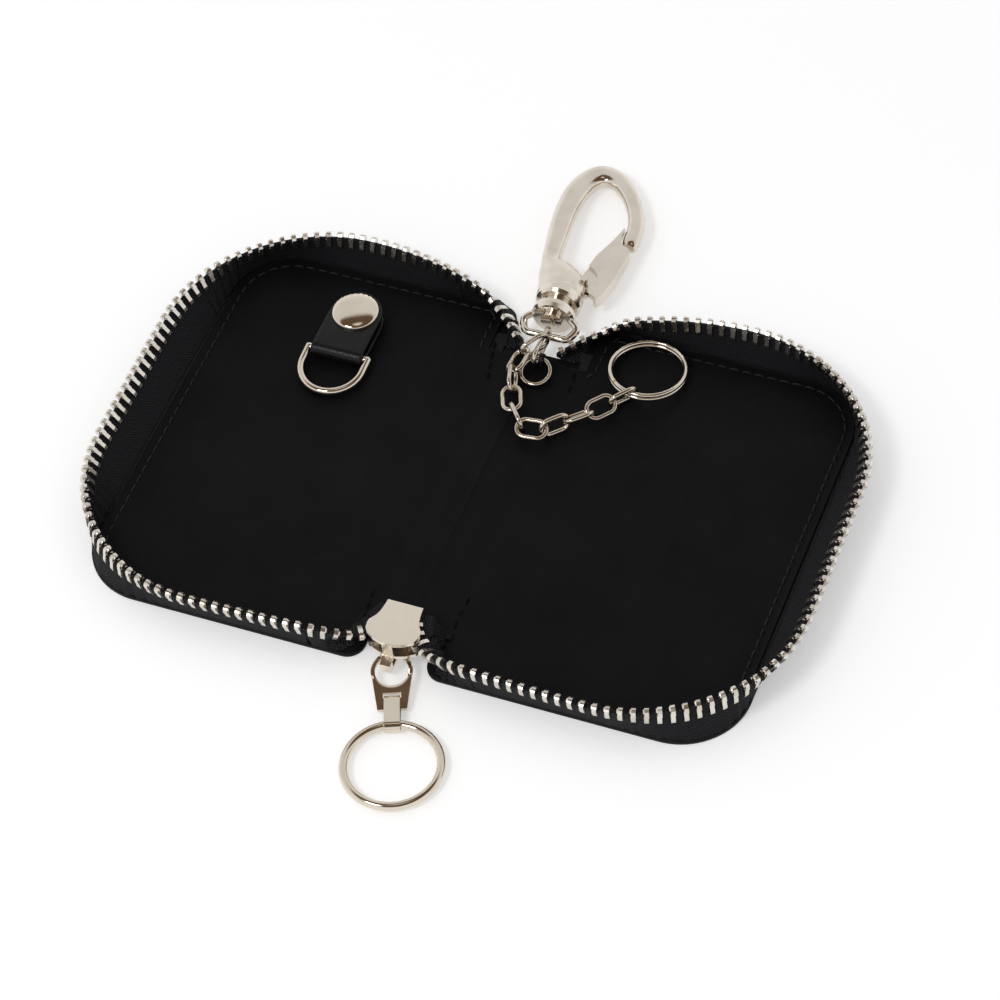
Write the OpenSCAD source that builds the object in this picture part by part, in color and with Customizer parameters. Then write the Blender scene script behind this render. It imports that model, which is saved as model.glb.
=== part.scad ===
// Zip-around key case lying open: two leather covers on a spine, metal zip, hook, snap strap and chain.
// Frame: x across the open case, y along the spine towards the hook, z up, floor at z = 0.

/* [Case] */
// Distance from the spine centre to the edge of a cover
cover_reach = 84; // [70:0.5:100]
// Half length of a cover along the spine
cover_half_length = 57; // [50:0.5:66]
// Radius of the far corners of a cover
cover_corner = 17; // [12:0.5:22]
// Half width of the spine, from its centre to a crease
spine_half = 9.2; // [8:0.1:11]
// Thickness of the outer leather
leather_thick = 1.2; // [0.9:0.05:1.8]
// Thickness of the stiffener board
board_thick = 0.5; // [0.3:0.05:1]
// Thickness of the lining leather
lining_thick = 0.7; // [0.5:0.05:1]
// How far the lining stays inside the leather edge
lining_inset = 1.4; // [1.1:0.1:1.6]
// Half width of the notch in the spine end at the slider
slider_notch_half = 8; // [7.5:0.1:8.8]
// Half width of the notch in the spine end at the hook
hook_notch_half = 10; // [9.5:0.1:10.5]
// Depth of the notch in the spine end at the slider
slider_notch_depth = 8; // [5:0.5:13]
// Depth of the notch in the spine end at the hook
hook_notch_depth = 12.4; // [12:0.2:17]
// Radius of the leather corners beside a notch
notch_corner = 4.5; // [3.6:0.1:6]
// How far the lining stays behind the leather at the notches
lining_notch = 3; // [2:0.1:3.4]

/* [Zip] */
// Thickness of the woven tape
tape_thick = 0.7; // [0.5:0.05:0.9]
// Width of the sewn tape flange under the lining
flange_wide = 8; // [5:0.5:12]
// Distance from the spine centre to the tape edge at the far side
zip_reach = 91.2; // [80:0.2:105]
// How far the tape edge stands out past the covers at the hook and slider ends
zip_lean = 2.5; // [1.5:0.1:4]
// Distance from the centre line at which the tape starts to turn down at the hook end
hook_joint = 25; // [22:0.5:28]
// The same distance at the slider end
slider_joint = 20; // [18:0.5:22]
// How far the free edge of the tape leans inwards towards the hook
hook_sag = 3.9; // [3:0.1:4.5]
// How far that edge drops there
hook_dip = 0.5; // [0.3:0.1:0.8]
// Height of the tape edge above the floor
zip_high = 10.5; // [9:0.1:12]
// Corner radius of the tape edge
zip_corner = 40; // [30:1:48]
// Distance between neighbouring teeth of one tape
tooth_pitch = 3; // [2.8:0.05:3.6]
// Width of a tooth head along the tape
tooth_wide = 1.36; // [1.1:0.02:1.4]
// Thickness of a tooth across the tape
tooth_thick = 2.1; // [1.8:0.05:2.4]
// Height of a tooth head above the tape edge
tooth_head = 1.6; // [1.2:0.05:1.8]
// Length of the two clamped legs of a tooth
tooth_leg = 2.9; // [2.2:0.05:3.2]
// Free space between a tooth slot and the tape
tooth_clear = 0.09; // [0.05:0.01:0.15]
// Height of the middle of the slider channel
slider_high = 7.35; // [7:0.05:8]
// Width of the slider plates
slider_wide = 13.4; // [12:0.1:14.5]
// Length of the slider plates
slider_long = 12.3; // [11:0.1:13]
// Free height of the slider channel
slider_channel = 3.5; // [3.2:0.05:3.9]
// Thickness of a slider plate
slider_plate = 1; // [0.8:0.05:1.2]
// How far the slider nose stands out past the end of the spine leather
slider_out = 7.8; // [7:0.1:11]

/* [Pull] */
// Sideways lean of the resting pull, degrees
pull_lean = 22; // [0:1:35]
// Length of the link
link_long = 14.8; // [12:0.1:18]
// Width of the link at the slider end
link_wide = 10; // [9.4:0.1:12]
// Width of the link at the ring end
link_end_wide = 7; // [6:0.1:9]
// Thickness of the link
link_thick = 1.1; // [0.8:0.05:1.3]
// Outer width of the round ring
pull_ring_wide = 25; // [20:0.5:32]
// Wire thickness of the round ring
pull_ring_wire = 2.2; // [1.6:0.1:2.3]
// Width of the folded strip between link and ring
clip_wide = 3.8; // [3:0.1:4.4]

/* [Snap strap] */
// Width of the strap
strap_wide = 13.8; // [12:0.1:18]
// Thickness of the strap leather
strap_thick = 1.1; // [0.8:0.05:1.3]
// Distance from the spine centre line to the strap centre line
strap_side = 47.7; // [40:0.1:56]
// Distance from the middle of the case to the snap centre
snap_reach = 39.2; // [34:0.1:42]
// Distance between the snap centre and the ring bar
strap_drop = 12.2; // [11:0.1:16]
// Width of the snap cap
cap_wide = 12.2; // [10:0.1:13]
// Wire thickness of the D-ring
d_wire = 2; // [1.6:0.05:2.2]
// Length of the D-ring from its bar to its far side
d_long = 13; // [12:0.1:15]

/* [Hook] */
// Width of the cast hook loop
hook_wide = 24.6; // [20:0.1:30]
// Length of the hook from its seat to the tip
hook_long = 54; // [46:0.1:60]
// Thickness of the hook loop
hook_thick = 4.2; // [3.4:0.1:5]
// Height of the swivel axis at the hook seat
hook_high = 6.25; // [6:0.05:7]
// Distance from the middle of the case to the hook seat
hook_seat_reach = 54; // [52:0.1:56]
// Sideways offset of the hook seat
hook_side = 0.2; // [-0.5:0.1:0.8]
// Sideways lean of the resting hook, degrees
hook_lean = 5; // [0:0.5:10]
// Downward slope of the resting hook, degrees
hook_droop = 3.8; // [2:0.1:5]
// Radius of the large swivel collar
collar_round = 5.8; // [5:0.1:5.9]
// Thickness of the bail wire
bail_wire = 1.9; // [1.6:0.05:2]
// Radius of the swivel pin
swivel_round = 1.8; // [1.5:0.05:2.2]
// Running gap around pins
pin_gap = 0.05; // [0.02:0.01:0.1]

/* [Chain] */
// Outer length of a chain link
chain_long = 8.7; // [8:0.05:9.2]
// Outer width of a chain link
chain_wide = 5.7; // [5.2:0.05:6.2]
// Wire thickness of a chain link
chain_wire = 1.2; // [1:0.05:1.3]
// Play between two interlinked links
chain_play = 0.1; // [0.06:0.01:0.2]
// Outer width of the split ring
split_wide = 20; // [16:0.5:24]
// Wire thickness of one coil of the split ring
split_wire = 1.15; // [0.9:0.05:1.2]
// Outer width of the ring held by the spine
anchor_wide = 8.4; // [7.6:0.1:9]
// Wire thickness of that ring
anchor_wire = 1.1; // [0.9:0.05:1.2]
// Outer length of the jump ring between hook bail, anchor ring and chain
jump_long = 12; // [11.5:0.1:12.5]
// Outer width of the jump ring
jump_wide = 5.4; // [5.2:0.1:6]
// Wire thickness of the jump ring
jump_wire = 1.2; // [1.1:0.05:1.25]
// How far the jump ring stands out past the end of the spine leather
jump_out = 5.2; // [4.4:0.1:5.9]

/* [Hidden] */
$fn = 64;
over = 0.5;
slider_spine_reach = cover_half_length - slider_notch_depth;
hook_spine_reach = cover_half_length - hook_notch_depth;
zip_half_length = cover_half_length + zip_lean;
slider_nose_reach = slider_spine_reach + slider_out;
jump_front = hook_spine_reach + jump_out;
seat = leather_thick + board_thick + lining_thick;
base_inset = lining_inset * 0.35;
base_reach = cover_reach - base_inset;
base_half = cover_half_length - base_inset;
base_corner = cover_corner - base_inset;
base_low = leather_thick + over / 10;
flange_top = leather_thick + board_thick;

black_leather = [0.09, 0.09, 0.105];
black_lining = [0.12, 0.12, 0.135];
black_tape = [0.06, 0.06, 0.07];
grey_board = [0.3, 0.3, 0.3];
nickel = [0.8, 0.77, 0.72];

function unit(v) = v / norm(v);

// Smooth curve through a table of points: share t along the piece after point i.
function curve_at(p, i, t) =
  let (a = p[max(i - 1, 0)], b = p[i], c = p[i + 1], d = p[min(i + 2, len(p) - 1)])
  b + (c - a) * (t / 2) + (2 * a - 5 * b + 4 * c - d) * (t * t / 2)
    + (3 * b - a - 3 * c + d) * (t * t * t / 2);
function smooth(p, n) = concat(
  [for (i = [0 : len(p) - 2]) for (k = [0 : n - 1]) curve_at(p, i, k / n)],
  [p[len(p) - 1]]);

// Covers

module rounded_cover(inset, low, thick, crease_gap)
  translate([0, 0, low])
    linear_extrude(thick)
      intersection() {
        translate([spine_half + crease_gap, -cover_half_length])
          square([cover_reach, 2 * cover_half_length]);
        rounded_outline(cover_reach - inset, cover_half_length - inset, cover_corner - inset);
      }

module rounded_outline(reach, half, corner) {
  translate([0, corner - half])
    square([reach, 2 * (half - corner)]);
  translate([0, -half])
    square([reach - corner, 2 * half]);
  for (side = [-1, 1])
    translate([reach - corner, side * (half - corner)])
      circle(corner);
}

// Area taken away at one end of the spine, with the rounded leather corners beside it.
module notch_area(half, end, inset) {
  translate([-half - inset, end - inset])
    square([2 * (half + inset), cover_half_length]);
  for (side = [-1, 1])
    difference() {
      translate([side * (half + notch_corner / 2), cover_half_length - notch_corner / 2])
        square([notch_corner + 2 * over, notch_corner + 2 * over], center = true);
      translate([side * (half + notch_corner), cover_half_length - notch_corner])
        circle(notch_corner - inset);
      translate([side * (half + notch_corner * 2), cover_half_length - notch_corner * 2])
        square([notch_corner * 2, notch_corner * 4 - 2 * inset], center = true);
      translate([side * (half + notch_corner * 2), cover_half_length - notch_corner * 3])
        square([notch_corner * 4 - 2 * inset, notch_corner * 4], center = true);
    }
}

module notches(inset, low, thick)
  translate([0, 0, low - over])
    linear_extrude(thick + 2 * over) {
      notch_area(hook_notch_half, hook_spine_reach, inset);
      mirror([0, 1])
        notch_area(slider_notch_half, slider_spine_reach, inset);
    }

module cover_sheet(inset, notch_inset, low, thick)
  difference() {
    rounded_cover(inset, low, thick, 0);
    notches(notch_inset, low, thick);
  }

module spine_sheet(inset, notch_inset, low, thick)
  difference() {
    translate([-spine_half, inset - cover_half_length, low])
      cube([2 * spine_half, 2 * (cover_half_length - inset), thick]);
    notches(notch_inset, low, thick);
  }

module outer_leather_right()
  color(black_leather)
    cover_sheet(0, 0, 0, leather_thick);

module outer_leather_left()
  color(black_leather)
    mirror([1, 0, 0])
      cover_sheet(0, 0, 0, leather_thick);

module outer_leather_spine()
  color(black_leather)
    spine_sheet(0, 0, 0, leather_thick);

module lining_right()
  color(black_lining)
    cover_sheet(lining_inset, lining_notch, flange_top, lining_thick);

module lining_left()
  color(black_lining)
    mirror([1, 0, 0])
      cover_sheet(lining_inset, lining_notch, flange_top, lining_thick);

module lining_spine()
  color(black_lining)
    spine_sheet(lining_inset, lining_notch, flange_top, lining_thick);

board_inset = lining_inset + flange_wide;

module stiffener_right()
  color(grey_board)
    rounded_cover(board_inset, leather_thick, board_thick, over);

module stiffener_left()
  color(grey_board)
    mirror([1, 0, 0])
      rounded_cover(board_inset, leather_thick, board_thick, over);

// Path of the zip along one half, from the hook end of the spine to the slider

// Rows: tape edge, tape foot and tooth direction, in shares of the three corner sizes.
corner_size = [hook_joint, cover_half_length, zip_high];
hook_edge_shares = [
  [0.196, 0.761, 0.41], [0.37, 0.842, 0.514], [0.54, 0.9, 0.6],
  [0.7, 0.94, 0.755], [0.86, 0.963, 0.88]
];
hook_foot_shares = [
  [0.24, 0.807, 0.29], [0.424, 0.903, 0.28], [0.49, 0.968, 0.19],
  [0.65, 0.991, 0.15], [0.84, 0.991, 0.14]
];
slider_edge_shares = [
  [0.6, -1.012, 0.92], [0.44, -0.988, 0.8], [0.3, -0.954, 0.715], [0.184, -0.911, 0.7],
  [0.11, -0.856, 0.7], [0.068, -0.8, 0.7]
];
slider_foot_shares = [
  [0.64, -0.993, 0.14], [0.54, -0.991, 0.17], [0.43, -0.957, 0.22], [0.42, -0.9, 0.3],
  [0.42, -0.839, 0.3], [0.4, -0.793, 0.3]
];
slider_aim_shares = [
  [-0.05, -0.25, 0.96], [-0.3, -0.5, 0.8], [-0.65, -0.65, 0.33], [-0.8, -0.58, 0.06],
  [-0.95, -0.3, 0.01], [-1, 0, 0]
];
function scaled(shares) = [for (s = shares) [for (i = [0 : 2]) s[i] * corner_size[i]]];

function top_share(x) = (zip_reach - zip_corner - x) / (zip_reach - zip_corner - hook_joint);
function top_edge(x) = [x, zip_half_length - hook_sag * pow(top_share(x), 2),
  zip_high - hook_dip * pow(top_share(x), 3)];
function low_share(x) = (zip_reach - zip_corner - x) / (zip_reach - zip_corner - slider_joint);
function low_edge(x) = [x, hook_dip * 1.8 * pow(low_share(x), 2) - zip_half_length, zip_high];

// Foot of the tape under a point of the corner arc, along the arc's radius.
function foot_on(angle, side) =
  let (c = [zip_reach - zip_corner, zip_half_length - zip_corner],
    d = [cos(angle), sin(angle)],
    q = [base_reach - base_corner, base_half - base_corner],
    across = c[1] + (base_reach - c[0]) * tan(angle),
    up = c[0] + (base_half - c[1]) / max(tan(angle), 0.001),
    m = d * (c - q),
    hit = sqrt(max(m * m - (c - q) * (c - q) + base_corner * base_corner, 0)) - m,
    p = across <= q[1] ? [base_reach, across] : up <= q[0] ? [up, base_half] : c + d * hit)
  [p[0], side * p[1], base_low];

turns = 14;
top_run = [for (k = [1 : 4]) hook_joint + (zip_reach - zip_corner - hook_joint) * k / 5];
low_run = [for (k = [1 : 5]) slider_joint + (zip_reach - zip_corner - slider_joint) * (1 - k / 6)];
hook_rows = concat(scaled(hook_edge_shares), [top_edge(hook_joint)]);
hook_feet = concat(scaled(hook_foot_shares), [[hook_joint, base_half, base_low]]);
slider_rows = concat([low_edge(slider_joint)], scaled(slider_edge_shares));
slider_feet = concat([[slider_joint, -base_half, base_low]], scaled(slider_foot_shares));
joint_aim = unit(low_edge(slider_joint) - [slider_joint, -base_half, base_low]);
slider_aims = concat([joint_aim], [for (a = slider_aim_shares) unit(a)]);
fine = 5;
hook_smooth = smooth(hook_rows, fine);
hook_smooth_feet = smooth(hook_feet, fine);
slider_smooth = smooth(slider_rows, fine);
slider_smooth_feet = smooth(slider_feet, fine);
slider_smooth_aims = smooth(slider_aims, fine);
side_run = [for (k = [1 : 2]) zip_half_length - zip_corner - (zip_half_length - zip_corner) * 2 * k / 3];

edge_path = concat(
  hook_smooth,
  [for (x = top_run) top_edge(x)],
  [for (k = [0 : turns]) [zip_reach - zip_corner + zip_corner * sin(90 * k / turns),
    zip_half_length - zip_corner + zip_corner * cos(90 * k / turns), zip_high]],
  [for (y = side_run) [zip_reach, y, zip_high]],
  [for (k = [0 : turns]) [zip_reach - zip_corner + zip_corner * cos(90 * k / turns),
    zip_corner - zip_half_length - zip_corner * sin(90 * k / turns), zip_high]],
  [for (x = low_run) low_edge(x)],
  slider_smooth);
foot_path = concat(
  hook_smooth_feet,
  [for (x = top_run) [x, base_half, base_low]],
  [for (k = [0 : turns]) foot_on(90 - 90 * k / turns, 1)],
  [for (y = side_run) [base_reach, y, base_low]],
  [for (k = [0 : turns]) foot_on(90 * k / turns, -1)],
  [for (x = low_run) [x, -base_half, base_low]],
  slider_smooth_feet);
aim_path = [for (i = [0 : len(edge_path) - 1])
  i >= len(edge_path) - len(slider_smooth)
    ? unit(slider_smooth_aims[i - len(edge_path) + len(slider_smooth)])
    : unit(edge_path[i] - foot_path[i])];
step_lengths = [for (i = [1 : len(edge_path) - 1]) norm(edge_path[i] - edge_path[i - 1])];
step_count = len(step_lengths);
run_sum = [
  for (i = 0, s = 0; i <= step_count; s = s + (i < step_count ? step_lengths[i] : 0), i = i + 1) s];
path_long = run_sum[len(run_sum) - 1];
first_tooth = tooth_wide;
// The tape of each half is parted half way between two of its own teeth.
function between_teeth(s, phase) =
  first_tooth + (round((s - first_tooth) / tooth_pitch - phase - 0.5) + 0.5 + phase) * tooth_pitch;
corner_run = run_sum[len(hook_smooth) - 1];
function hook_joint_run(phase) = between_teeth(corner_run, phase);
function slider_joint_run(phase) = between_teeth(run_sum[len(edge_path) - len(slider_smooth)], phase);

function table_of(path, axis) = [for (i = [0 : len(path) - 1]) [run_sum[i], path[i][axis]]];
edge_tables = [for (axis = [0 : 2]) table_of(edge_path, axis)];
foot_tables = [for (axis = [0 : 2]) table_of(foot_path, axis)];
aim_tables = [for (axis = [0 : 2]) table_of(aim_path, axis)];
function edge_at(s) = [for (t = edge_tables) lookup(s, t)];
function foot_at(s) = [for (t = foot_tables) lookup(s, t)];
function aim_at(s) = unit([for (t = aim_tables) lookup(s, t)]);
function along_at(s) =
  unit(edge_at(min(s + tooth_pitch / 4, path_long)) - edge_at(max(s - tooth_pitch / 4, 0)));
function square_aim(s) = unit(aim_at(s) - along_at(s) * (aim_at(s) * along_at(s)));
function inward_at(s) = unit(cross(along_at(s), square_aim(s)));

function tooth_runs(phase, low, high) =
  [for (k = [0 : ceil(path_long / tooth_pitch)])
    let (s = first_tooth + (k + phase) * tooth_pitch)
    if (s >= low && s < high && s < path_long - tooth_wide / 2) s];

// Tapes

// Cross-section of the tape at one place: sewn flange, foot and standing edge.
function wall_section(s) =
  let (e = edge_at(s), a = square_aim(s), n = inward_at(s), level = unit([n[0], n[1], 0]),
    inner = e + n * (tape_thick / 2), outer = e - n * (tape_thick / 2),
    root = inner - a * ((inner[2] - sewn_top) / a[2]),
    heel = outer - a * ((outer[2] - sewn_low) / a[2]),
    sewn = root + level * (flange_wide - over))
  [heel, outer, inner, root, sewn, [sewn[0], sewn[1], sewn_low]];

function strip_section(s, bend) =
  let (e = edge_at(s), a = square_aim(s), n = inward_at(s) * (tape_thick / 2), m = e - a * bend,
    f = s > corner_run + tooth_pitch ? foot_at(s) : e - a * max(norm(e - foot_at(s)), bend + over))
  [f - n, m - n, e - n, e + n, m + n, f + n];

// Two equal sections at each tooth keep the tape straight where it is clamped.
hold = tooth_wide * 0.45;
function shifted(section, v) = [for (q = section) q + [v[0], v[1], q[2] > seat ? v[2] : 0]];
sewn_low = leather_thick + over / 50;
sewn_top = flange_top - over / 50;
function held(section, s) = [shifted(section, -along_at(s) * hold), shifted(section, along_at(s) * hold)];

// Solid through a row of closed sections; caps gives the triangles that close its ends.
function fan(m) = [for (j = [1 : m - 2]) [0, j, j + 1]];
module skin(rows, caps = []) {
  m = len(rows[0]);
  n = len(rows);
  points = [for (r = rows) for (p = r) p];
  sides = [for (i = [0 : n - 2]) for (j = [0 : m - 1])
    let (a = i * m + j, b = i * m + (j + 1) % m)
    for (f = [[a, b + m, b], [a, a + m, b + m]]) f];
  last = (n - 1) * m;
  ends = [for (c = len(caps) > 0 ? caps : fan(m)) for (f = [c, [last + c[0], last + c[2], last + c[1]]]) f];
  polyhedron(points, concat(sides, ends), 4);
}

function stations(phase, low, high) = tooth_runs(phase, low + tooth_wide / 2, high - tooth_wide / 2);

gap = over / 5;
function parted(section, s, side) = shifted(section, along_at(s) * (gap * side));

module wall_tape(phase)
  skin(concat(
    [parted(wall_section(hook_joint_run(phase)), hook_joint_run(phase), 1)],
    [for (s = stations(phase, hook_joint_run(phase), slider_joint_run(phase)))
      for (q = held(wall_section(s), s)) q],
    [parted(wall_section(slider_joint_run(phase)), slider_joint_run(phase), -1)]),
    [[0, 1, 2], [0, 2, 3], [0, 3, 4], [0, 4, 5]]);

module end_tape(phase, low, high, bend, sides)
  skin(concat(
    [parted(strip_section(low, bend), low, sides[0])],
    [for (s = stations(phase, low, high)) for (q = held(strip_section(s, bend), s)) q],
    [parted(strip_section(high, bend), high, sides[1])]),
    [[0, 1, 4], [0, 4, 5], [1, 2, 3], [1, 3, 4]]);

hook_bend = tooth_leg + tooth_clear * 2;
slider_bend = tooth_leg + tooth_head * 1.4;

module zip_tape_right()
  color(black_tape)
    wall_tape(0);

module zip_tape_left()
  color(black_tape)
    mirror([1, 0, 0])
      wall_tape(0.5);

module zip_tape_hook_corner()
  color(black_tape) {
    end_tape(0, 0, hook_joint_run(0), hook_bend, [0, -1]);
    mirror([1, 0, 0])
      end_tape(0.5, 0, hook_joint_run(0.5), hook_bend, [0, -1]);
  }

module zip_tape_slider_corner()
  color(black_tape) {
    end_tape(0, slider_joint_run(0), path_long, slider_bend, [1, 0]);
    mirror([1, 0, 0])
      end_tape(0.5, slider_joint_run(0.5), path_long, slider_bend, [1, 0]);
  }

// Teeth

slot_wide = tape_thick + 2 * tooth_clear;
tooth_cut = tooth_thick / 5;
leg_wide = tooth_wide * 0.8;
nib_round = tooth_thick / 4;
nib_high = tooth_wide * 0.22;

// One tooth: x along the tape, y across it, z towards the free edge.
module tooth() {
  rotate([90, 0, 90])
    translate([0, 0, -tooth_wide / 2])
      linear_extrude(tooth_wide - nib_high)
        polygon([
          [-tooth_thick / 2, -tooth_head / 3], [tooth_thick / 2, -tooth_head / 3],
          [tooth_thick / 2, tooth_head - tooth_cut * 1.6],
          [tooth_thick / 2 - tooth_cut, tooth_head - tooth_cut / 3],
          [tooth_thick / 2 - tooth_cut * 2, tooth_head],
          [tooth_cut * 2 - tooth_thick / 2, tooth_head],
          [tooth_cut - tooth_thick / 2, tooth_head - tooth_cut / 3],
          [-tooth_thick / 2, tooth_head - tooth_cut * 1.6]
        ]);
  translate([tooth_wide / 2 - nib_high - over / 10, 0, tooth_head / 2 + nib_high / 2])
    rotate([0, 90, 0])
      cylinder(nib_high + over / 10, nib_round * 1.3, nib_round, $fn = 20);
}

module tooth_legs()
  translate([-leg_wide / 2, 0, -tooth_leg])
    rotate([90, 0, 90])
      linear_extrude(leg_wide)
        polygon([
          [-tooth_thick / 2 + tooth_cut / 2, 0], [-tooth_thick / 2, tooth_cut * 2],
          [-tooth_thick / 2, tooth_leg], [tooth_thick / 2, tooth_leg],
          [tooth_thick / 2, tooth_cut * 2], [tooth_thick / 2 - tooth_cut / 2, 0]
        ]);

module tooth_slot()
  translate([-tooth_wide, -slot_wide / 2, -tooth_leg - over])
    cube([2 * tooth_wide, slot_wide, tooth_leg + over + tooth_clear]);

module whole_tooth()
  difference() {
    union() {
      tooth();
      tooth_legs();
    }
    tooth_slot();
  }

module tooth_at(s) {
  x = along_at(s);
  z = square_aim(s);
  y = cross(z, x);
  e = edge_at(s);
  multmatrix([
    [x[0], y[0], z[0], e[0]],
    [x[1], y[1], z[1], e[1]],
    [x[2], y[2], z[2], e[2]]
  ])
    whole_tooth();
}

module teeth(phase, low, high)
  for (s = tooth_runs(phase, low, high))
    tooth_at(s);

module zip_teeth_right()
  color(nickel)
    teeth(0, hook_joint_run(0), slider_joint_run(0));

module zip_teeth_left()
  color(nickel)
    mirror([1, 0, 0])
      teeth(0.5, hook_joint_run(0.5), slider_joint_run(0.5));

module zip_teeth_hook_corner()
  color(nickel) {
    teeth(0, 0, hook_joint_run(0));
    mirror([1, 0, 0])
      teeth(0.5, 0, hook_joint_run(0.5));
  }

module zip_teeth_slider_corner()
  color(nickel) {
    teeth(0, slider_joint_run(0), path_long);
    mirror([1, 0, 0])
      teeth(0.5, slider_joint_run(0.5), path_long);
  }

// Slider

slider_low = slider_high - slider_channel / 2 - slider_plate;
slider_top = slider_high + slider_channel / 2;
plate_shares = [
  [0.336, 1], [0.343, 0.9], [0.357, 0.78], [0.375, 0.68], [0.41, 0.58], [0.455, 0.51],
  [0.493, 0.45], [0.5, 0.39], [0.49, 0.26], [0.44, 0.17], [0.3, 0.07], [0.14, 0.01], [0, 0]
];
rail_high = slider_channel * 0.15;
rail_wide = slider_plate * 0.9;
post_wide = slider_wide * 0.2;
post_long = slider_long * 0.24;
arch_wide = slider_wide * 0.2;
arch_bar = link_thick * 1.1;
arch_gap = link_thick * 1.7;
arch_low = slider_low - arch_gap - arch_bar;
arch_front = slider_nose_reach + slider_long * 0.2;
arch_back = slider_nose_reach - slider_long * 0.72;
arch_foot = slider_plate * 1.6;

module plate_outline()
  translate([0, -slider_nose_reach])
    polygon(concat(
      [for (p = plate_shares) [p[0] * slider_wide, p[1] * slider_long]],
      [for (i = [len(plate_shares) - 2 : -1 : 0])
        [-plate_shares[i][0] * slider_wide, plate_shares[i][1] * slider_long]]));

module side_rails(low, high)
  translate([0, 0, low])
    linear_extrude(high)
      difference() {
        intersection() {
          plate_outline();
          translate([-slider_wide, -slider_nose_reach + slider_long * 0.55])
            square([2 * slider_wide, slider_long]);
        }
        for (side = [-1, 1])
          translate([-side * rail_wide, 0])
            intersection() {
              plate_outline();
              translate([side > 0 ? 0 : -slider_wide, -slider_nose_reach])
                square([slider_wide, slider_long + over]);
            }
        translate([-slider_wide * 0.3, -slider_nose_reach])
          square([slider_wide * 0.6, slider_long + over]);
      }

module slider_body()
  color(nickel) {
    translate([0, 0, slider_low])
      linear_extrude(slider_plate)
        plate_outline();
    translate([0, 0, slider_top])
      linear_extrude(slider_plate)
        plate_outline();
    side_rails(slider_low + slider_plate - over / 10, rail_high);
    side_rails(slider_top + over / 10 - rail_high, rail_high);
    translate([-post_wide / 2, -slider_nose_reach, slider_low + slider_plate / 2])
      cube([post_wide, post_long, slider_channel + slider_plate]);
    translate([-arch_wide / 2, 0, 0])
      rotate([90, 0, 90])
        linear_extrude(arch_wide)
          difference() {
            polygon([
              [-arch_back, slider_low + slider_plate / 2],
              [-arch_back, slider_low - arch_gap / 2],
              [-arch_back - arch_foot, arch_low],
              [-arch_front + arch_foot, arch_low],
              [-arch_front, arch_low + arch_bar / 2],
              [-arch_front, slider_low],
              [-slider_nose_reach, slider_low + slider_plate / 2]
            ]);
            polygon([
              [-arch_back - arch_foot, slider_low],
              [-arch_back - arch_foot * 1.3, slider_low - arch_gap],
              [-arch_front + arch_foot * 1.1, slider_low - arch_gap],
              [-arch_front + arch_foot, slider_low]
            ]);
          }
  }

// Pull

pull_pivot_reach = slider_nose_reach - slider_long * 0.14;
pull_pivot_high = slider_low - arch_gap / 2;
hole_round = link_wide * 0.4;
rim_wide = link_wide / 2 - hole_round;
hole_drop = hole_round + rim_wide / 2;
clip_inner = pull_ring_wire + 3.5 * pin_gap;
clip_thick = 0.5;
clip_high = clip_inner / 2 + clip_thick;
clip_start = link_long - link_end_wide * 0.52;
ring_drop = link_long + pull_ring_wire * 1.85;
clip_end = ring_drop + clip_high + over / 2;
link_slope = atan((pull_pivot_high - clip_high) / (link_long - rim_wide));

module in_pull()
  translate([0, -pull_pivot_reach, 0])
    rotate([0, 0, pull_lean])
      children();

module pull_link()
  color(nickel)
    in_pull()
      translate([0, 0, pull_pivot_high])
        rotate([link_slope, 0, 0])
          translate([0, 0, -link_thick / 2])
            linear_extrude(link_thick)
              difference() {
                union() {
                  translate([0, -hole_drop])
                    circle(link_wide / 2);
                  polygon([
                    [-link_wide / 2, -hole_drop], [link_wide / 2, -hole_drop],
                    [link_end_wide / 2, -link_long], [-link_end_wide / 2, -link_long]
                  ]);
                }
                translate([0, -hole_drop])
                  circle(hole_round);
                translate([-clip_wide / 2 - over / 2, -clip_start - pull_ring_wire * 0.3])
                  square([clip_wide + over, pull_ring_wire * 0.62]);
              }

module pull_clip()
  color(nickel)
    in_pull()
      translate([-clip_wide / 2, 0, clip_high])
        rotate([90, 0, 90])
          linear_extrude(clip_wide)
            difference() {
              slot_shape(clip_start - clip_thick / 2, clip_end, clip_high);
              slot_shape(clip_start + clip_thick / 2, clip_end - clip_thick, clip_inner / 2);
            }

module slot_shape(start, end, round) {
  translate([-start - round, 0])
    circle(round);
  translate([-end + round, 0])
    circle(round);
  translate([-end + round, -round])
    square([end - start - 2 * round, 2 * round]);
}

pull_ring_round = (pull_ring_wide - pull_ring_wire) / 2;

module pull_ring()
  color(nickel)
    in_pull()
      translate([0, -ring_drop - pull_ring_round, clip_high])
        rotate_extrude()
          translate([pull_ring_round, 0])
            circle(pull_ring_wire / 2, $fn = 40);

// Snap strap on the left cover

bar_gap = d_wire + 2 * pin_gap;
bar_high = seat + strap_thick + bar_gap / 2;
bar_reach = snap_reach - strap_drop;
flap_low = bar_high + bar_gap / 2;
post_round = cap_wide * 0.16;
stud_round = cap_wide * 0.2;
socket_round = cap_wide * 0.4;

module strap_shape(start)
  difference() {
    union() {
      translate([-strap_side, snap_reach])
        circle(strap_wide / 2);
      translate([-strap_side - strap_wide / 2, start])
        square([strap_wide, snap_reach - start]);
    }
    translate([-strap_side, snap_reach])
      circle(post_round + pin_gap);
  }

module strap_base()
  color(black_leather)
    translate([0, 0, seat])
      linear_extrude(strap_thick)
        strap_shape(bar_reach + over / 5);

module strap_flap()
  color(black_leather)
    translate([0, 0, flap_low])
      linear_extrude(strap_thick)
        strap_shape(bar_reach + over / 5);

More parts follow.
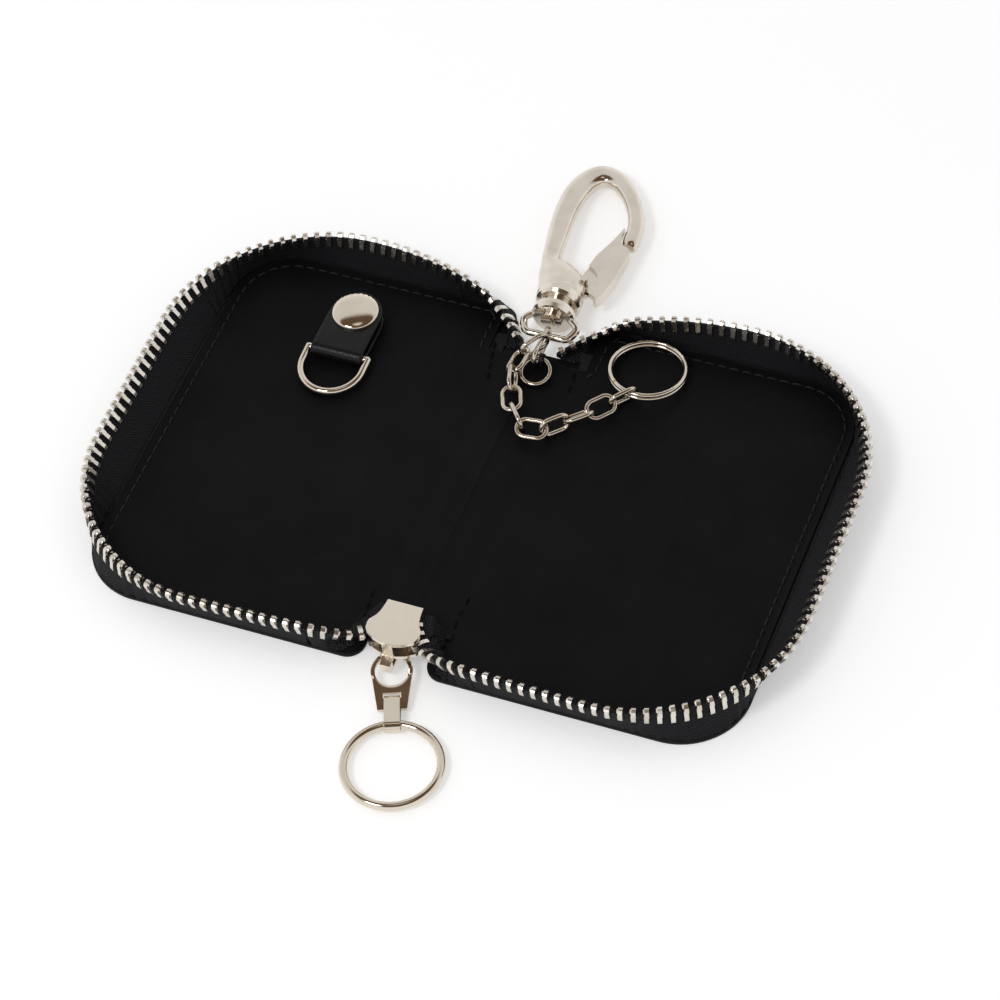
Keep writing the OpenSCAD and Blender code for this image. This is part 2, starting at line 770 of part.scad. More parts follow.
module strap_fold()
  color(black_leather)
    translate([-strap_side - strap_wide / 2, bar_reach, bar_high])
      rotate([90, 0, 90])
        linear_extrude(strap_wide)
          difference() {
            circle(bar_gap / 2 + strap_thick);
            circle(bar_gap / 2);
            translate([over / 10, -strap_wide])
              square([strap_wide, 2 * strap_wide]);
          }

module at_snap(height)
  translate([-strap_side, snap_reach, height])
    children();

cap_low = flap_low + strap_thick;
cap_rim = cap_wide * 0.05;
cap_dome = cap_wide * 0.11;
cap_sphere = (cap_wide * cap_wide / 4 + cap_dome * cap_dome) / (2 * cap_dome);

module snap_cap()
  color(nickel)
    at_snap(cap_low) {
      cylinder(cap_rim, d = cap_wide);
      intersection() {
        translate([0, 0, cap_rim + cap_dome - cap_sphere])
          sphere(cap_sphere, $fn = 160);
        cylinder(cap_rim + cap_dome + over, d = cap_wide);
      }
      translate([0, 0, -strap_thick])
        cylinder(strap_thick + cap_rim / 2, r = post_round);
    }

socket_high = bar_gap * 0.52;

module snap_socket()
  color(nickel)
    at_snap(flap_low - socket_high)
      difference() {
        cylinder(socket_high, r = socket_round);
        translate([0, 0, -over])
          cylinder(socket_high + over - cap_rim, r = stud_round + pin_gap);
      }

module snap_stud()
  color(nickel)
    at_snap(seat + strap_thick) {
      cylinder(bar_gap - socket_high - pin_gap, r = socket_round);
      cylinder(bar_gap - cap_rim - pin_gap * 2, r = stud_round);
    }

module snap_post()
  color(nickel)
    at_snap(seat)
      cylinder(strap_thick, r = post_round);

d_round = strap_wide / 2 + d_wire * 0.55;
d_side = d_long - d_round - d_wire / 2;
d_droop = asin((bar_high - seat - d_wire / 2 - over / 5) / d_long);

// A cylinder from point a to point b.
module rod(a, b, round) {
  v = b - a;
  translate(a)
    rotate([0, acos(v[2] / norm(v)), atan2(v[1], v[0])])
      cylinder(norm(v), r = round, $fn = 32);
}

module d_ring()
  color(nickel)
    translate([-strap_side, bar_reach, bar_high])
      rotate([d_droop, 0, 0]) {
        rod([-d_round, 0, 0], [d_round, 0, 0], d_wire / 2);
        for (side = [-1, 1]) {
          translate([side * d_round, 0, 0])
            sphere(d_wire / 2, $fn = 32);
          rod([side * d_round, 0, 0], [side * d_round, -d_side, 0], d_wire / 2);
        }
        translate([0, -d_side, 0])
          rotate([0, 0, 180])
            rotate_extrude(angle = 180)
              translate([d_round, 0])
                circle(d_wire / 2, $fn = 32);
      }

// Hook

jump_high = seat + jump_wide / 2 + over / 5;
jump_side = jump_wire / 2;

// An oval of round wire lying in the xy plane, long way along x.
module oval_wire(long, wide, wire) {
  r = (wide - wire) / 2;
  h = (long - wide) / 2;
  for (side = [-1, 1]) {
    rod([-h, side * r, 0], [h, side * r, 0], wire / 2);
    translate([side * h, 0, 0])
      rotate([0, 0, side > 0 ? -90 : 90])
        rotate_extrude(angle = 180, $fn = 48)
          translate([r, 0])
            circle(wire / 2, $fn = 32);
  }
}

bail_round = bail_wire / 2;
bail_high = jump_high - over / 2;
bail_reach = jump_front - jump_wire - bail_round - over / 5;
bail_bar_half = collar_round * 0.86;
eye_round = collar_round * 0.95;
neck_round = collar_round * 0.66;
eye_thick = collar_round * 0.46;
collar_start = collar_round * 0.48;
collar_thick = collar_round * 0.62;

module in_hook()
  translate([hook_side, hook_seat_reach, hook_high])
    rotate([-hook_droop, 0, hook_lean])
      children();

// Solid of turning about the hook axis, from a list of [radius, place along the axis].
module turned(profile)
  rotate([-90, 0, 0])
    rotate_extrude()
      polygon(profile);

eye_back = -eye_thick * 0.7;

module hook_eye()
  color(nickel)
    difference() {
      union() {
        in_hook()
          turned([
            [0, eye_back], [eye_round * 0.86, eye_back], [eye_round, eye_back + eye_thick * 0.25],
            [eye_round, eye_back + eye_thick * 0.75], [eye_round * 0.86, eye_back + eye_thick],
            [neck_round, eye_back + eye_thick], [neck_round, collar_start - pin_gap],
            [0, collar_start - pin_gap]
          ]);
        translate([hook_side, 0, 0])
          bail();
      }
      in_hook()
        rotate([-90, 0, 0])
          translate([0, 0, eye_back - over])
            cylinder(eye_thick + collar_start + 2 * over, r = swivel_round + pin_gap);
    }

// One side of the bail from the middle of its bar to the collar, in shares of bail_rise.
bail_shares = [
  [0, 0, 0], [0.5, 0, 0], [0.93, 0.01, 0], [1.16, 0.1, 0.05], [1.34, 0.36, 0.17],
  [1.38, 0.6, 0.4], [1.08, 0.82, 0.65], [0.62, 0.95, 0.9]
];
bail_rise = [bail_bar_half, hook_seat_reach - bail_reach, hook_high - bail_high];
function bail_point(q, side) = [side * q[0] * bail_rise[0], bail_reach + q[1] * bail_rise[1],
  bail_high + q[2] * bail_rise[2]];

module bail() {
  path = smooth(concat(
    [for (i = [len(bail_shares) - 1 : -1 : 1]) bail_point(bail_shares[i], -1)],
    [for (q = bail_shares) bail_point(q, 1)]), 3);
  rows = [for (i = [0 : len(path) - 1])
    let (t = unit(path[min(i + 1, len(path) - 1)] - path[max(i - 1, 0)]),
      u = unit(cross(t, [0, 0.25, 1])), w = cross(t, u))
    [for (k = [0 : 11]) path[i] + (u * cos(30 * k) + w * sin(30 * k)) * bail_round]];
  skin(rows);
}

pin_head = swivel_round * 1.5;
pin_head_thick = eye_thick * 0.4;
block_bore_end = collar_start + collar_thick * 1.5;

module swivel_pin()
  color(nickel)
    in_hook()
      rotate([-90, 0, 0]) {
        translate([0, 0, eye_back - pin_head_thick - pin_gap])
          cylinder(pin_head_thick, r = pin_head);
        translate([0, 0, eye_back - pin_head_thick])
          cylinder(block_bore_end - eye_back + pin_head_thick, r = swivel_round);
      }

// Rows of the cast loop: inner and outer points, in shares of hook width and length, and depth share.
loop_shares = [
  [[0.24, 0.1], [-0.25, 0.1], 1.9], [[0.235, 0.17], [-0.275, 0.17], 1.75],
  [[0.18, 0.24], [-0.31, 0.24], 1.5], [[0.04, 0.3], [-0.325, 0.29], 1.25],
  [[-0.1, 0.325], [-0.338, 0.33], 1.1], [[-0.15, 0.38], [-0.35, 0.38], 1],
  [[-0.155, 0.47], [-0.375, 0.48], 1], [[-0.162, 0.6], [-0.398, 0.61], 1],
  [[-0.156, 0.7], [-0.402, 0.72], 1], [[-0.13, 0.79], [-0.375, 0.83], 1],
  [[-0.075, 0.86], [-0.29, 0.93], 1], [[-0.005, 0.895], [-0.14, 1], 1],
  [[0.09, 0.885], [0.05, 1.003], 1], [[0.175, 0.85], [0.22, 0.955], 1],
  [[0.27, 0.79], [0.37, 0.87], 1], [[0.35, 0.715], [0.49, 0.77], 1],
  [[0.395, 0.645], [0.566, 0.675], 1], [[0.41, 0.585], [0.588, 0.585], 0.95],
  [[0.412, 0.53], [0.58, 0.51], 0.85], [[0.43, 0.505], [0.56, 0.49], 0.6]
];
function loop_row(i, t) = [
  curve_at([for (r = loop_shares) r[0]], i, t),
  curve_at([for (r = loop_shares) r[1]], i, t),
  curve_at([for (r = loop_shares) [r[2]]], i, t)[0]];
loop_steps = concat(
  [for (i = [0 : len(loop_shares) - 2]) for (k = [0 : 2]) loop_row(i, k / 3)],
  [loop_shares[len(loop_shares) - 1]]);
ring_cuts = 16;
function loop_section(r) =
  let (a = [r[0][0] * hook_wide, r[0][1] * hook_long], b = [r[1][0] * hook_wide, r[1][1] * hook_long],
    c = (a + b) / 2, h = (b - a) / 2)
  [for (k = [0 : ring_cuts - 1])
    let (ca = cos(360 * k / ring_cuts), sa = sin(360 * k / ring_cuts),
      x = sign(ca) * pow(abs(ca), 0.8), y = sign(sa) * pow(abs(sa), 0.8))
    [c[0] + h[0] * x, c[1] + h[1] * x, y * r[2] * hook_thick / 2]];

gate_pivot = [hook_wide * 0.2, hook_long * 0.2];
gate_pin_round = hook_thick * 0.22;
tongue_thick = hook_thick * 0.4;
tongue_round = hook_thick * 0.62;

module hook_body()
  color(nickel)
    in_hook()
      difference() {
        union() {
          skin([for (r = loop_steps) loop_section(r)]);
          turned([
            [0, collar_start], [collar_round * 0.9, collar_start],
            [collar_round, collar_start + collar_thick * 0.2],
            [collar_round, collar_start + collar_thick * 0.7],
            [collar_round * 0.85, collar_start + collar_thick],
            [collar_round * 0.6, collar_start + collar_thick * 1.5], [0, collar_start + collar_thick * 1.6]
          ]);
        }
        translate([gate_pivot[0], gate_pivot[1], -tongue_thick / 2 - pin_gap])
          cylinder(tongue_thick + 2 * pin_gap, r = tongue_round * 1.25);
        translate([gate_pivot[0] - tongue_round * 1.25, gate_pivot[1], -tongue_thick / 2 - pin_gap])
          cube([hook_wide, hook_long * 0.15, tongue_thick + 2 * pin_gap]);
        translate([gate_pivot[0], gate_pivot[1], -hook_thick])
          cylinder(2 * hook_thick, r = gate_pin_round);
        rotate([-90, 0, 0])
          translate([0, 0, collar_start - over])
            cylinder(block_bore_end - collar_start + over + pin_gap, r = swivel_round + pin_gap);
      }

gate_shares = [
  [0.18, 0.315], [0.22, 0.395], [0.32, 0.495], [0.395, 0.6], [0.405, 0.59], [0.4, 0.54], [0.41, 0.508],
  [0.43, 0.484], [0.49, 0.474], [0.525, 0.46], [0.535, 0.43], [0.51, 0.35], [0.49, 0.27], [0.45, 0.19],
  [0.42, 0.14], [0.37, 0.11], [0.335, 0.125], [0.33, 0.17], [0.325, 0.22], [0.3, 0.265], [0.25, 0.295]
];
tongue_shares = [
  [0.12, 0.2], [0.15, 0.27], [0.2, 0.36], [0.4, 0.36],
  [0.42, 0.2], [0.37, 0.13], [0.26, 0.155], [0.2, 0.155]];
gate_thick = hook_thick * 0.82;

module hook_gate()
  color(nickel)
    in_hook()
      difference() {
        union() {
          translate([0, 0, -gate_thick / 2])
            linear_extrude(gate_thick)
              polygon([for (q = gate_shares) [q[0] * hook_wide, q[1] * hook_long]]);
          translate([0, 0, -tongue_thick / 2])
            linear_extrude(tongue_thick) {
              polygon([for (q = tongue_shares) [q[0] * hook_wide, q[1] * hook_long]]);
              translate(gate_pivot)
                circle(tongue_round);
            }
        }
        translate([gate_pivot[0], gate_pivot[1], -hook_thick])
          cylinder(2 * hook_thick, r = gate_pin_round + pin_gap);
      }

module gate_pin()
  color(nickel)
    in_hook()
      translate([gate_pivot[0], gate_pivot[1], -hook_thick * 0.78])
        cylinder(hook_thick * 1.56, r = gate_pin_round);

// Rings that join the hook and the chain to the spine

anchor_round = (anchor_wide - anchor_wire) / 2;
anchor_top = jump_front - jump_long + jump_wide / 2 - jump_wire * 0.2;
anchor_high = jump_high - jump_wire * 0.3;
anchor_side = jump_side + anchor_wire * 0.9;
anchor_slope = asin((anchor_high - seat - anchor_wire / 2 - over / 10) / (2 * anchor_round));
tab_wide = jump_wire * 0.95;
tab_side = jump_side + jump_wire / 2 + over / 2;
tab_round = anchor_wire * 1.3;
tab_bore = anchor_wire * 0.75;

module anchor_tab()
  color(black_leather)
    translate([tab_side, anchor_top, 0])
      rotate([90, 0, 90])
        linear_extrude(tab_wide)
          difference() {
            union() {
              translate([0, anchor_high])
                circle(tab_round);
              translate([-tab_round, seat])
                square([2 * tab_round, anchor_high - seat]);
            }
            translate([0, anchor_high])
              circle(tab_bore);
          }

module anchor_ring()
  color(nickel)
    translate([anchor_side, anchor_top, anchor_high])
      rotate([anchor_slope, 0, 0])
        translate([0, -anchor_round, 0])
          rotate_extrude()
            translate([anchor_round, 0])
              circle(anchor_wire / 2, $fn = 32);

module jump_ring()
  color(nickel)
    translate([jump_side, jump_front - jump_long / 2, jump_high])
      rotate([0, 0, 90])
        rotate([90, 0, 0])
          oval_wire(jump_long, jump_wide, jump_wire);

// Chain

chain_step = chain_long - 2 * chain_wire - chain_play;
headings = [-135, -94, -74, -67, -50, 6, 45, 43, 50, 50];
rolls = [90, 30, -75, 5, -80, 20, 80, -40, 30, -75];
function chain_aim(i) =
  let (drop = i == 0 ? start_drop : 0)
  [cos(headings[i]) * cos(drop), sin(headings[i]) * cos(drop), -sin(drop)];
link_gap = chain_wire + chain_play;
start_gap = (chain_wire + jump_wire) / 2 / abs(cos(headings[0])) + chain_play;
start_wire = [jump_side, jump_front - jump_long / 2, jump_high + (jump_wide - jump_wire) / 2];
// The first link drops from the jump ring to the height of the others.
chain_high = seat + chain_wide / 2 + over / 10;
start_drop = asin((start_wire[2] - chain_high) / (chain_long - chain_wire - start_gap));
// The flatter of two interlinked links sets the direction in which the other one lies.
function flatter(i) = abs(sin(rolls[i])) < abs(sin(rolls[i - 1])) ? i : i - 1;
function near_wire(i) = i == 0 ? start_wire - start_gap * chain_aim(0)
  : far_wire(i - 1) - link_gap * chain_aim(flatter(i));
function far_wire(i) = near_wire(i) + (chain_long - chain_wire) * chain_aim(i);
function chain_middle(i) = (near_wire(i) + far_wire(i)) / 2;

module chain_link(i)
  translate(chain_middle(i))
    rotate([0, i == 0 ? start_drop : 0, headings[i]])
      rotate([rolls[i], 0, 0])
        oval_wire(chain_long, chain_wide, chain_wire);

module chain_link_b() color(nickel) chain_link(0);
module chain_link_c() color(nickel) chain_link(1);
module chain_link_d() color(nickel) chain_link(2);
module chain_link_e() color(nickel) chain_link(3);
module chain_link_f() color(nickel) chain_link(4);
module chain_link_g() color(nickel) chain_link(5);
module chain_link_h() color(nickel) chain_link(6);
module chain_link_i() color(nickel) chain_link(7);
module chain_link_j() color(nickel) chain_link(8);
module chain_link_k() color(nickel) chain_link(9);

split_round = (split_wide - split_wire) / 2;
split_heading = 80;
split_wire_at = far_wire(9) - ((chain_wide - chain_wire) / 2 - split_wire * 0.25) * chain_aim(9);
coil_rise = split_wire * 0.48;
split_dip = asin((split_wire_at[2] - seat - coil_rise - split_wire / 2 - over / 10) / (2 * split_round));

module split_ring()
  color(nickel)
    translate(split_wire_at)
      rotate([0, split_dip, split_heading])
        translate([split_round, 0, 0])
          difference() {
            rotate_extrude()
              for (side = [-1, 1])
                translate([split_round, side * coil_rise])
                  circle(split_wire / 2, $fn = 32);
            rotate([0, 0, 150])
              translate([split_round, 0, coil_rise + split_wire / 2])
                cube([split_wire * 2, split_wire / 3, split_wire], center = true);
            rotate([0, 0, 175])
              translate([split_round, 0, -coil_rise - split_wire / 2])
                cube([split_wire * 2, split_wire / 3, split_wire], center = true);
          }

outer_leather_left();
outer_leather_spine();
outer_leather_right();
lining_left();
lining_spine();
lining_right();
stiffener_left();
stiffener_right();
anchor_tab();
zip_tape_left();
zip_tape_right();
zip_tape_hook_corner();
zip_tape_slider_corner();
zip_teeth_left();
zip_teeth_right();
zip_teeth_hook_corner();
zip_teeth_slider_corner();
slider_body();
pull_link();
pull_clip();
pull_ring();
strap_base();
strap_fold();
strap_flap();
d_ring();
snap_cap();
snap_socket();
snap_stud();
snap_post();
hook_eye();
swivel_pin();
hook_body();
hook_gate();
gate_pin();
anchor_ring();
jump_ring();
chain_link_b();
chain_link_c();
chain_link_d();
chain_link_e();
chain_link_f();
chain_link_g();
chain_link_h();
chain_link_i();
chain_link_j();
chain_link_k();
split_ring();
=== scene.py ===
import bpy
import bmesh
import math
import numpy as np
from mathutils import Matrix, Vector
from mathutils.geometry import delaunay_2d_cdt


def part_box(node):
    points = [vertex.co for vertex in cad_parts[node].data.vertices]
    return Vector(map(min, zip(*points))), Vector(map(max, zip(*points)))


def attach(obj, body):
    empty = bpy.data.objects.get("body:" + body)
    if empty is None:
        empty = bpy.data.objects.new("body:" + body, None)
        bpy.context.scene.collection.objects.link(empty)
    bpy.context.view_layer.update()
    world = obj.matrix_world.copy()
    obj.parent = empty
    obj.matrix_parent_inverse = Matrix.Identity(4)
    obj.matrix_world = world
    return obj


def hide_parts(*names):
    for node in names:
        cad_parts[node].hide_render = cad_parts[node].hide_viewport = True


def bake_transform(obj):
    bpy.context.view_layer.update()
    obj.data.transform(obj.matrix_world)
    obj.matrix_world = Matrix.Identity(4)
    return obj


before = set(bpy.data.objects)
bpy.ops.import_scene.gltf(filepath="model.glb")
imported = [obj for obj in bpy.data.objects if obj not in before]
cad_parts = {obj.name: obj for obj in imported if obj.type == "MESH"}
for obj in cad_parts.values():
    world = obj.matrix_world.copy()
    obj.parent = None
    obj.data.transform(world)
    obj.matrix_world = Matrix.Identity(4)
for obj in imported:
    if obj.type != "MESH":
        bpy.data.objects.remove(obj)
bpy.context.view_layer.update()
MM = 0.001
scene = bpy.context.scene
scene.view_settings.view_transform = "Standard"

# Measures of the case, in millimetres
CREASE = 9.2            # distance of each crease from the middle of the spine
SEAM_INSET = 2.3        # the sewn line, inward from the edge of the lining


def make_camera():
    """Place and axes fitted to the photograph's frame of 1000 x 1000."""
    az, el, roll = math.radians(-26.413), math.radians(51.166), math.radians(-6.881)
    distance, focal, aim = 919.932, 3781.822, Vector((6.412, -1.361, 0))
    fwd = Vector((math.sin(az) * math.cos(el), math.cos(az) * math.cos(el), -math.sin(el)))
    right = Vector((math.cos(az), -math.sin(az), 0))
    up = right.cross(fwd)
    r2 = math.cos(roll) * right + math.sin(roll) * up
    u2 = -math.sin(roll) * right + math.cos(roll) * up
    place = (aim - fwd * distance) * MM
    data = bpy.data.cameras.new("camera")
    data.sensor_fit = "HORIZONTAL"
    data.sensor_width = 36
    data.lens = focal * 36 / 1000
    data.clip_start = 0.01
    data.clip_end = 20
    cam = bpy.data.objects.new("camera", data)
    m = Matrix((r2, u2, -fwd)).transposed().to_4x4()
    m.translation = place
    cam.matrix_world = m
    scene.collection.objects.link(cam)
    scene.camera = cam


make_camera()


# Materials

class Nodes:
    def __init__(self, name):
        self.mat = bpy.data.materials.new(name)
        self.mat.use_nodes = True
        self.t = self.mat.node_tree
        self.bsdf = next(n for n in self.t.nodes if n.type == "BSDF_PRINCIPLED")

    def add(self, kind, **props):
        n = self.t.nodes.new(kind)
        for k, v in props.items():
            setattr(n, k, v)
        return n

    def link(self, a, b):
        self.t.links.new(a, b)

    def coords(self, which, scale=(1, 1, 1)):
        tc = self.add("ShaderNodeTexCoord")
        mp = self.add("ShaderNodeMapping")
        mp.inputs["Scale"].default_value = scale
        self.link(tc.outputs[which], mp.inputs["Vector"])
        return mp.outputs["Vector"]

    def noise(self, vec, scale, detail=3, rough=0.5, dims="3D"):
        n = self.add("ShaderNodeTexNoise")
        n.noise_dimensions = dims
        self.link(vec, n.inputs["Vector"])
        n.inputs["Scale"].default_value = scale
        n.inputs["Detail"].default_value = detail
        n.inputs["Roughness"].default_value = rough
        return n.outputs["Fac"]

    def ramp(self, fac, stops):
        r = self.add("ShaderNodeValToRGB")
        e = r.color_ramp.elements
        while len(e) < len(stops):
            e.new(0.5)
        for k, (pos, col) in enumerate(stops):
            e[k].position = pos
            e[k].color = (*col, 1) if len(col) == 3 else col
        self.link(fac, r.inputs["Fac"])
        return r.outputs["Color"]

    def span(self, fac, lo, hi, a=0.0, b=1.0):
        m = self.add("ShaderNodeMapRange")
        m.inputs["From Min"].default_value = a
        m.inputs["From Max"].default_value = b
        m.inputs["To Min"].default_value = lo
        m.inputs["To Max"].default_value = hi
        self.link(fac, m.inputs["Value"])
        return m.outputs["Result"]

    def math(self, op, a, b=None):
        m = self.add("ShaderNodeMath", operation=op)
        for k, v in enumerate((a, b)):
            if v is None:
                continue
            if isinstance(v, (int, float)):
                m.inputs[k].default_value = v
            else:
                self.link(v, m.inputs[k])
        return m.outputs[0]

    def bump(self, height, strength, distance, before=None):
        b = self.add("ShaderNodeBump")
        b.inputs["Strength"].default_value = strength
        b.inputs["Distance"].default_value = distance
        self.link(height, b.inputs["Height"])
        if before is not None:
            self.link(before, b.inputs["Normal"])
        return b.outputs["Normal"]

    def set(self, **values):
        for k, v in values.items():
            s = self.bsdf.inputs[k.replace("_", " ")]
            if isinstance(v, (int, float, tuple)):
                s.default_value = v
            else:
                self.link(v, s)
        return self


def leather(name, low, high, rough, pore, grain, depth, gloss=0.12, where="UV"):
    """Mottled leather with pores. UV coordinates are in millimetres, Object ones in metres."""
    n = Nodes(name)
    uv = n.coords(where)
    mottle = n.noise(uv, 0.045, 4, 0.6, "2D")
    fine = n.noise(uv, 1.1, 3, 0.6, "2D")
    v = n.add("ShaderNodeTexVoronoi", feature="DISTANCE_TO_EDGE", voronoi_dimensions="2D")
    n.link(uv, v.inputs["Vector"])
    v.inputs["Scale"].default_value = pore
    cells = n.span(v.outputs["Distance"], 0, 1, 0, 0.25)
    both = n.math("ADD", n.math("MULTIPLY", cells, 0.6), n.math("MULTIPLY", fine, 0.8))
    colour = n.ramp(mottle, [(0.3, low), (0.72, high)])
    soft = n.noise(uv, 0.12, 3, 0.5, "2D")
    bend = n.bump(soft, 0.35, 0.00025)
    n.set(Base_Color=colour,
          Roughness=n.span(fine, rough - 0.06, rough + 0.08, 0.25, 0.75),
          Normal=n.bump(both, grain, depth, bend))
    n.bsdf.inputs["Specular IOR Level"].default_value = gloss
    return n.mat


def woven(name):
    """Herringbone tape: u runs along the teeth, v is the distance from them, in millimetres."""
    n = Nodes(name)
    uv = n.coords("UV")
    sep = n.add("ShaderNodeSeparateXYZ")
    n.link(uv, sep.inputs[0])
    u, v = sep.outputs[0], sep.outputs[1]
    warp_pitch, slant_pitch, zig_wide = 0.62, 0.8, 1.25
    warp = n.math("SINE", n.math("MULTIPLY", v, 2 * math.pi / warp_pitch))
    zig = n.math("PINGPONG", v, zig_wide)
    slant = n.math("SINE", n.math("MULTIPLY", n.math("ADD", u, zig), 2 * math.pi / slant_pitch))
    fuzz = n.noise(uv, 4.5, 2, 0.6, "2D")
    weave = n.math("ADD", n.math("MULTIPLY", warp, 0.28), n.math("MULTIPLY", slant, 0.42))
    height = n.math("ADD", weave, n.math("MULTIPLY", fuzz, 0.5))
    # painted light: the colour follows the weave's height, so raised threads get painted highlights
    # and hollows get painted shade
    painted_weave_light = n.span(height, 0, 1, -0.5, 1.1)
    # low is the painted shade of the hollows, high the painted highlight of the raised threads
    low, high = (0.002, 0.002, 0.0026), (0.034, 0.034, 0.04)
    n.set(Base_Color=n.ramp(painted_weave_light, [(0.3, low), (0.95, high)]),
          Roughness=n.span(fuzz, 0.6, 0.85), Normal=n.bump(height, 0.9, 0.00012))
    n.bsdf.inputs["Specular IOR Level"].default_value = 0.15
    return n.mat


def thread(name, low, high, gloss):
    """Twisted sewing thread."""
    n = Nodes(name)
    o = n.coords("Object")
    twist = n.add("ShaderNodeTexWave", bands_direction="DIAGONAL")
    n.link(o, twist.inputs["Vector"])
    twist.inputs["Scale"].default_value = 900
    twist.inputs["Distortion"].default_value = 2
    n.set(Base_Color=n.ramp(twist.outputs["Fac"], [(0, low), (1, high)]),
          Roughness=0.55, Normal=n.bump(twist.outputs["Fac"], 0.5, 0.00008))
    n.bsdf.inputs["Specular IOR Level"].default_value = gloss
    return n.mat


def metal(name, colour, dark, rough, wear=0.06):
    """Plated metal with clouds, fine specks and light scratches."""
    n = Nodes(name)
    o = n.coords("Object")
    cloud = n.noise(o, 160, 3, 0.55)
    specks = n.noise(o, 2600, 2, 0.7)
    scratch = n.noise(n.coords("Object", (3000, 260, 900)), 1, 2, 0.6)
    worn = n.math("ADD", n.math("MULTIPLY", cloud, 0.6), n.math("MULTIPLY", scratch, 0.4))
    n.set(Base_Color=n.ramp(cloud, [(0.3, dark), (0.62, colour)]), Metallic=1.0,
          Roughness=n.span(worn, rough - wear / 2, rough + wear, 0.35, 0.65),
          Normal=n.bump(specks, 0.05, 0.00002, n.bump(cloud, 0.06, 0.00012)))
    return n.mat


M_outer = leather("outer_leather", (0.0038, 0.0038, 0.0048), (0.0075, 0.0075, 0.009),
                  rough=0.5, pore=1.5, grain=0.55, depth=0.00012, gloss=0.15)
M_lining = leather("lining_leather", (0.0034, 0.0034, 0.0044), (0.0056, 0.0056, 0.007),
                   rough=0.5, pore=2.1, grain=0.4, depth=0.00008, gloss=0.08)
M_strap = leather("strap_leather", (0.0042, 0.0042, 0.0048), (0.0066, 0.0066, 0.0074),
                  rough=0.3, pore=1.3, grain=0.6, depth=0.00004, gloss=0.25)
M_tape = woven("zip_tape")
M_thread = thread("thread", (0.004, 0.004, 0.005), (0.026, 0.026, 0.028), gloss=0.25)
M_dark_thread = thread("dark_thread", (0.0015, 0.0015, 0.002), (0.005, 0.005, 0.006), gloss=0.05)
M_nickel = metal("polished_nickel", (0.74, 0.67, 0.575), (0.68, 0.605, 0.51), rough=0.1)
M_hook = metal("cast_nickel", (0.74, 0.68, 0.6), (0.67, 0.605, 0.525), rough=0.12)
M_chain = metal("chain_nickel", (0.66, 0.595, 0.505), (0.5, 0.435, 0.35), rough=0.15)
M_slider = metal("pressed_nickel", (0.86, 0.79, 0.685), (0.81, 0.735, 0.63), rough=0.2)
M_teeth = metal("tooth_nickel", (0.78, 0.74, 0.68), (0.6, 0.55, 0.48), rough=0.24)
M_board = leather("board", (0.012, 0.012, 0.012), (0.02, 0.02, 0.02),
                  rough=0.9, pore=1000, grain=0.2, depth=0.0001, where="Object")


# Mesh helpers

def new_piece(name, verts, faces, mat, uv=None, sharp=40):
    """A smooth-shaded piece; edges that bend by more than sharp degrees stay sharp."""
    me = bpy.data.meshes.new(name)
    me.from_pydata([tuple(v) for v in verts], [], [tuple(int(i) for i in f) for f in faces])
    me.materials.append(mat)
    if uv is not None:
        layer = me.uv_layers.new(name="UVMap")
        idx = np.empty(len(me.loops), int)
        me.loops.foreach_get("vertex_index", idx)
        layer.data.foreach_set("uv", np.asarray(uv, np.float32)[idx].ravel())
    bm = bmesh.new()
    bm.from_mesh(me)
    bmesh.ops.recalc_face_normals(bm, faces=bm.faces)
    for f in bm.faces:
        f.smooth = True
    for e in bm.edges:
        e.smooth = not (len(e.link_faces) == 2 and e.calc_face_angle(0) > math.radians(sharp))
    bm.to_mesh(me)
    bm.free()
    ob = bpy.data.objects.new(name, me)
    scene.collection.objects.link(ob)
    return ob


def welded(node):
    """Vertices and triangles of a CAD node, in millimetres, with doubles merged."""
    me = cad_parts[node].data
    co = np.array([v.co for v in me.vertices], float) * 1000
    _, first, inv = np.unique(np.round(co, 3), axis=0, return_index=True, return_inverse=True)
    inv = inv.reshape(-1)
    faces = [[int(inv[i]) for i in p.vertices] for p in me.polygons]
    return co[first], [f for f in faces if len(set(f)) >= 3]


def top_loop(node):
    """Outline of the top face of a flat node, anticlockwise, in millimetres."""
    v, faces = welded(node)
    z = v[:, 2].max()
    count = {}
    for f in faces:
        if min(v[i][2] for i in f) > z - 0.01:
            for a, b in zip(f, f[1:] + f[:1]):
                count[(a, b)] = count.get((a, b), 0) + 1
    nxt = {a: b for (a, b) in count if (b, a) not in count}
    start = next(iter(nxt))
    loop, at = [start], nxt[start]
    while at != start:
        loop.append(at)
        at = nxt[at]
    p = v[loop][:, :2]
    if np.sum(p[:, 0] * np.roll(p[:, 1], -1) - np.roll(p[:, 0], -1) * p[:, 1]) < 0:
        p = p[::-1]
    return p


def half_outline(cover, spine, side):
    """Outline of one cover joined to its half of the spine."""
    a, b = top_loop(cover), top_loop(spine)
    if side < 0:
        a, b = a[::-1] * [-1, 1], b[::-1] * [-1, 1]
    crease = a[:, 0].min()
    on = np.where(np.abs(a[:, 0] - crease) < 0.02)[0]
    lo, hi = a[on, 1].min(), a[on, 1].max()
    k = [i for i in on if abs(a[i, 1] - lo) < 0.02][0]
    a = np.roll(a, -k, axis=0)
    k = [i for i in range(len(a)) if abs(a[i, 0] - crease) < 0.02 and abs(a[i, 1] - hi) < 0.02][0]
    outer = a[:k + 1]
    between = [tuple(p) for p in b if 0.01 < p[0] < crease - 0.02]
    spine_top = sorted([p for p in between if p[1] > 0], key=lambda p: -p[0])
    spine_low = sorted([p for p in between if p[1] < 0], key=lambda p: p[0])
    flat_hi = min((p for p in b if p[1] > 0), key=lambda p: abs(p[0]))[1]
    flat_lo = min((p for p in b if p[1] < 0), key=lambda p: abs(p[0]))[1]
    pts = list(map(tuple, outer)) + spine_top + [(0.0, flat_hi), (0.0, flat_lo)] + spine_low
    p = np.array(pts)
    return p if side > 0 else p[::-1] * [-1, 1]


